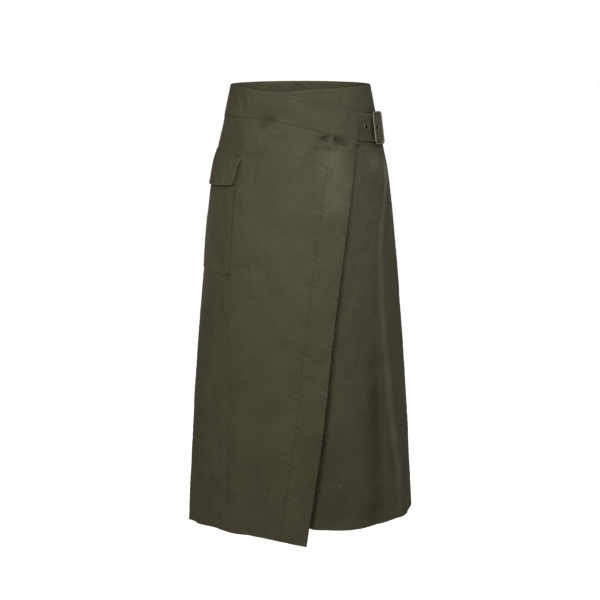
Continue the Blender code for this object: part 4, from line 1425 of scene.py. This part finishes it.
def make_buckle_frame():
    """The cast frame and its centre bar, grown together with small fillets."""
    half_wide = half_window()
    half_tall = BUCKLE_HEIGHT / 2 - BUCKLE_BAR
    path = []
    for quarter in range(4):
        middle = math.radians(90 * quarter + 45)
        corner_x = math.copysign(half_wide - BUCKLE_CORNER, math.cos(middle))
        corner_y = math.copysign(half_tall - BUCKLE_CORNER, math.sin(middle))
        for turn in np.radians(np.linspace(90 * quarter, 90 * quarter + 90, 13)):
            round_x = BUCKLE_CORNER * math.cos(turn)
            round_y = BUCKLE_CORNER * math.sin(turn)
            path.append((corner_x + round_x, corner_y + round_y, BUCKLE_STAND))
    out = np.array([0.0, 0.0, 1.0])
    points, faces = sweep(np.array(path), out, BUCKLE_BAR, sides=24, closed=True, broad=BUCKLE_BROAD)
    bar = np.array([(0, end * half_tall, BUCKLE_STAND) for end in (-1.0, 1.0)])
    bar_points, bar_faces = sweep(bar, out, CENTRE_BAR, sides=24)
    faces += [tuple(number + len(points) for number in face) for face in bar_faces]
    points = set_in(np.concatenate([points, bar_points]))
    piece = add_piece("cast_buckle", points, faces, "nickel", ("buckle_frame",))
    bake(piece, outward=True)
    casting = piece.modifiers.new("casting", "REMESH")
    casting.mode = "VOXEL"
    casting.voxel_size = bpy.context.scene.skirt_metal.casting_step
    tumbling = piece.modifiers.new("tumbling", "SMOOTH")
    tumbling.iterations = 5
    bake(piece)
    wear_high(piece, BUCKLE_STAND + 0.2, BUCKLE_STAND + BUCKLE_BAR)


def make_prong():
    """The wire prong, looped on the centre bar, whose tip lies on the frame's front bar."""
    loop = CENTRE_BAR + SEAM_GAP + PRONG_WIRE
    turns = np.radians(np.linspace(PRONG_LEAVES + PRONG_LOOP, PRONG_LEAVES, 31))
    looped = np.stack([-loop * np.sin(turns), 0 * turns, BUCKLE_STAND + loop * np.cos(turns)], 1)
    foot, directions = buckle_place()
    hole = (eyelet_place(NEAR_EYELET)[0] - foot) @ directions.T
    over_bar = BUCKLE_STAND + BUCKLE_BAR + SEAM_GAP + PRONG_WIRE
    half_wide = half_window()
    straight = np.array(
        [
            looped[-1],
            mix(looped[-1], (hole[0], 0, hole[2]), 0.5),
            (hole[0], 0, hole[2]),
            (hole[0] - 2.9, 0, mix(hole[2], over_bar, 0.75)),
            (2.3 - half_wide, 0, over_bar + 0.15),
            (-half_wide, 0, over_bar),
            (-half_wide - 2.6, 0, over_bar - 0.5),
        ]
    )
    path = np.concatenate([looped[:-1], smooth_path(straight, 5)])
    run = run_along(path)
    radii = PRONG_WIRE * rounding(np.minimum(run, run[-1] - run), 2 * PRONG_WIRE)
    points, faces = sweep(path, np.array([0.0, 1.0, 0.0]), radii, sides=16)
    piece = add_piece("wire_prong", set_in(points), faces, "nickel", ("buckle_prong",))
    bake(piece, outward=True)
    wear_high(piece, over_bar - 0.6, over_bar + PRONG_WIRE)


def make_loop():
    """A strip of twill folded round the centre bar and sewn down behind it, with a slot for the prong."""
    lower = 2.6 * SEAM_GAP + TAB_CLOTH / 2
    upper = lower + TAB_CLOTH + SEAM_GAP
    wrap = CENTRE_BAR + SEAM_GAP + TAB_CLOTH / 2
    path = [(along, 0, lower - TAB_SAG * along**2) for along in (TAB_LENGTH, 20, 15, 10)]
    path.append((5.0, 0, lower + 0.9))
    for turn in np.radians(np.linspace(195, 375, 11)):
        path.append((wrap * math.sin(turn), 0, BUCKLE_STAND + wrap * math.cos(turn)))
    path += [(3.6, 0, BUCKLE_STAND + 0.7), (7.2, 0, upper + 1.0)]
    path += [(along, 0, upper - TAB_SAG * along**2) for along in (11, 15, 20, TAB_LENGTH)]
    parts = 5
    slot = slice(3 * parts, (len(path) - 5) * parts)
    path = smooth_path(path, parts)
    half = TAB_HEIGHT / 2
    side = line_up(np.array([half - TAB_SLOT / 2]), (), 1.6)[0][0]
    levels = np.concatenate([side - half, side + TAB_SLOT / 2])
    run = run_along(path)
    from_end = np.minimum(run, run[-1] - run)[:, None]
    from_side = (half - np.abs(levels))[None]
    # Only the rows beside the slot have its edge near them.
    out_of_reach = 99
    from_slot = np.abs(levels)[None] - TAB_SLOT / 2 + out_of_reach * np.ones_like(from_end)
    from_slot[slot] -= out_of_reach
    from_edge = np.minimum(np.minimum(from_end, from_side), from_slot)
    sideways = np.cross(unit(np.gradient(path, axis=0)), (0, 1, 0))[:, None]
    centre = path[:, None] + levels[None, :, None] * np.array([0.0, 1.0, 0.0])
    off = sideways * (TAB_CLOTH / 2 * rounding(from_edge, TAB_CLOTH))[..., None]
    filled = np.ones((len(path) - 1, len(levels) - 1), bool)
    filled[slot, len(side) - 1] = False
    fanned = TAB_SAG * ((path[:, :1] + TAB_FAN * levels) ** 2 - path[:, :1] ** 2)
    centre[..., 2] -= (BUCKLE_TILT * (TILT_FOOT + levels) + fanned) * ease(path[:, :1] / 9)
    points = set_in(np.stack([centre + off, centre - off]))
    piece = add_piece("buckle_loop", points, wall_faces(filled), "twill", ("buckle_tab",))
    bake(piece, outward=True)
    lying = np.stack(np.broadcast_arrays(levels[None], run[:, None], 500.0), -1)
    store_wear_and_painted_light(piece, lying, from_edge, 0 * from_edge)


class SKIRT_OT_buckle(bpy.types.Operator):
    """Makes the buckle's frame and prong, and the loop of twill that holds it"""

    bl_idname = "skirt.buckle"
    bl_label = "Buckle"

    def execute(self, context):
        make_buckle_frame()
        make_prong()
        make_loop()
        return {"FINISHED"}


def make_eyelet(number, along, room):
    """An eyelet with a rolled flange on both faces of the strap, turned from one outline."""
    face = BAND_CLOTH / 2 + room
    bead = (EYELET_FLANGE - EYELET_HOLE) / 2
    outline = [
        (EYELET_HOLE + bead + bead * math.cos(turn), face + EYELET_LIP * math.sin(turn))
        for turn in np.radians(np.linspace(180, 0, 13))
    ]
    barrel = EYELET_HOLE + EYELET_WALL
    outline += [(barrel + 0.3, face), (barrel, face - 0.2)]
    outline += [(radius, -height) for radius, height in reversed(outline)]
    sides = 48
    points = [
        (radius * math.cos(turn), radius * math.sin(turn), height)
        for turn in 2 * math.pi * np.arange(sides) / sides
        for radius, height in outline
    ]
    centre, out = eyelet_place(along)
    turned_out = np.array(Vector(out).to_track_quat("Z", "Y").to_matrix())
    points = centre + np.array(points) @ turned_out.T
    faces = ring_faces(sides, len(outline), closed=True)
    piece = add_piece(f"rolled_eyelet_{number}", points, faces, "brass", (f"eyelet_{number}",))
    bake(piece, outward=True)
    heights = np.array([height for _, height in outline * sides])
    store(piece, "worn", ease((heights - face) / EYELET_LIP))


class SKIRT_OT_eyelets(bpy.types.Operator):
    """Makes the two eyelets in the strap, each with a rolled flange on both faces"""

    bl_idname = "skirt.eyelets"
    bl_label = "Eyelets"

    def execute(self, context):
        make_eyelet(1, FAR_EYELET, FAR_EYELET_ROOM)
        make_eyelet(2, NEAR_EYELET, NEAR_EYELET_ROOM)
        return {"FINISHED"}


Lamp = namedtuple("Lamp", "name place aim size power colour")
LAMPS = rows_of(
    Lamp,
    ("key", (0.51, -1.09, 0.6), (0.0, 0.0, -0.15), 0.3, 12.5, (0.87, 1.05, 1.22)),
    ("front", (0.0, -1.2, 0.0), (0.0, 0.0, -0.15), 0.5, 5.5, (0.98, 1.0, 0.94)),
    ("fill", (-0.75, -0.95, 0.0), (0.0, 0.0, -0.15), 0.5, 7.5, (0.98, 1.0, 0.94)),
    ("top", (0.0, -0.8, 1.3), (0.0, 0.1, -0.03), 0.5, 8.0, (0.88, 1.05, 1.14)),
)
FLOOR_RADIUS = 60.0
ROOM_LIGHT = 1.09
CAMERA_LENS = 102.54
CAMERA_PLACE = (-0.0007, -3.2, 0.2)
CAMERA_DOWN = 10.78  # degrees that the camera looks down
TONE_GAMMA = 0.7


class SKIRT_OT_stage(bpy.types.Operator):
    """Makes the floor, the studio lights and the camera"""

    bl_idname = "skirt.stage"
    bl_label = "Stage"

    def execute(self, context):
        scene = context.scene
        stage = scene.skirt_stage
        shape = bmesh.new()
        bmesh.ops.create_circle(shape, cap_ends=True, segments=96, radius=FLOOR_RADIUS)
        mesh = bpy.data.meshes.new("studio_floor")
        shape.to_mesh(mesh)
        shape.free()
        mesh.materials.append(floor_material())
        floor = bpy.data.objects.new("studio_floor", mesh)
        floor.location.z = -stage.floor_drop
        scene.collection.objects.link(floor)

        for lamp in LAMPS:
            light = bpy.data.lights.new(lamp.name, "AREA")
            light.shape = "SQUARE"
            light.size = lamp.size
            light.energy = lamp.power * stage.light
            light.color = lamp.colour
            holder = bpy.data.objects.new(lamp.name, light)
            holder.location = lamp.place
            towards = Vector(lamp.aim) - Vector(lamp.place)
            holder.rotation_euler = towards.to_track_quat("-Z", "Y").to_euler()
            holder.visible_camera = False
            scene.collection.objects.link(holder)

        world = bpy.data.worlds.new("white studio")
        world.use_nodes = True
        background = world.node_tree.nodes["Background"]
        set_inputs(background, {"Color": (1, 1, 1, 1), "Strength": ROOM_LIGHT})
        scene.world = world

        camera = bpy.data.cameras.new("camera")
        camera.lens = CAMERA_LENS
        camera.sensor_width = 36
        viewer = bpy.data.objects.new("camera", camera)
        viewer.location = CAMERA_PLACE
        viewer.rotation_euler = (math.radians(90 - CAMERA_DOWN), 0, 0)
        scene.collection.objects.link(viewer)
        scene.camera = viewer
        scene.view_settings.view_transform = "Standard"
        scene.view_settings.gamma = TONE_GAMMA
        return {"FINISHED"}


class SKIRT_PT_pieces(bpy.types.Panel):
    """Lists the pieces of the skirt, with the sizes and colours that can be changed"""

    bl_idname = "SKIRT_PT_pieces"
    bl_label = "Cargo Wrap Skirt"
    bl_space_type = "VIEW_3D"
    bl_region_type = "UI"
    bl_category = "Skirt"

    def draw(self, context):
        for title, settings, operators in (
            ("Cloth", context.scene.skirt_cloth, (SKIRT_OT_panels, SKIRT_OT_waistbands, SKIRT_OT_pocket)),
            ("Metal", context.scene.skirt_metal, (SKIRT_OT_buckle, SKIRT_OT_eyelets)),
            ("Studio", context.scene.skirt_stage, (SKIRT_OT_stage,)),
        ):
            box = self.layout.box()
            box.label(text=title)
            for name in settings.bl_rna.properties.keys():
                if name not in ("rna_type", "name"):
                    box.prop(settings, name)
            for operator in operators:
                box.operator(operator.bl_idname)


SETTINGS = {
    "skirt_cloth": SkirtClothSettings,
    "skirt_metal": SkirtMetalSettings,
    "skirt_stage": SkirtStageSettings,
}
OPERATORS = (
    SKIRT_OT_panels,
    SKIRT_OT_waistbands,
    SKIRT_OT_pocket,
    SKIRT_OT_buckle,
    SKIRT_OT_eyelets,
    SKIRT_OT_stage,
)


def register():
    for name, settings in SETTINGS.items():
        bpy.utils.register_class(settings)
        setattr(bpy.types.Scene, name, bpy.props.PointerProperty(type=settings))
    for kind in (*OPERATORS, SKIRT_PT_pieces):
        bpy.utils.register_class(kind)


def unregister():
    for kind in (SKIRT_PT_pieces, *reversed(OPERATORS)):
        bpy.utils.unregister_class(kind)
    for name, settings in reversed(SETTINGS.items()):
        delattr(bpy.types.Scene, name)
        bpy.utils.unregister_class(settings)


def main():
    register()
    bpy.ops.skirt.panels()
    bpy.ops.skirt.waistbands()
    bpy.ops.skirt.pocket()
    bpy.ops.skirt.buckle()
    bpy.ops.skirt.eyelets()
    bpy.ops.skirt.stage()


if __name__ == "__main__":
    main()
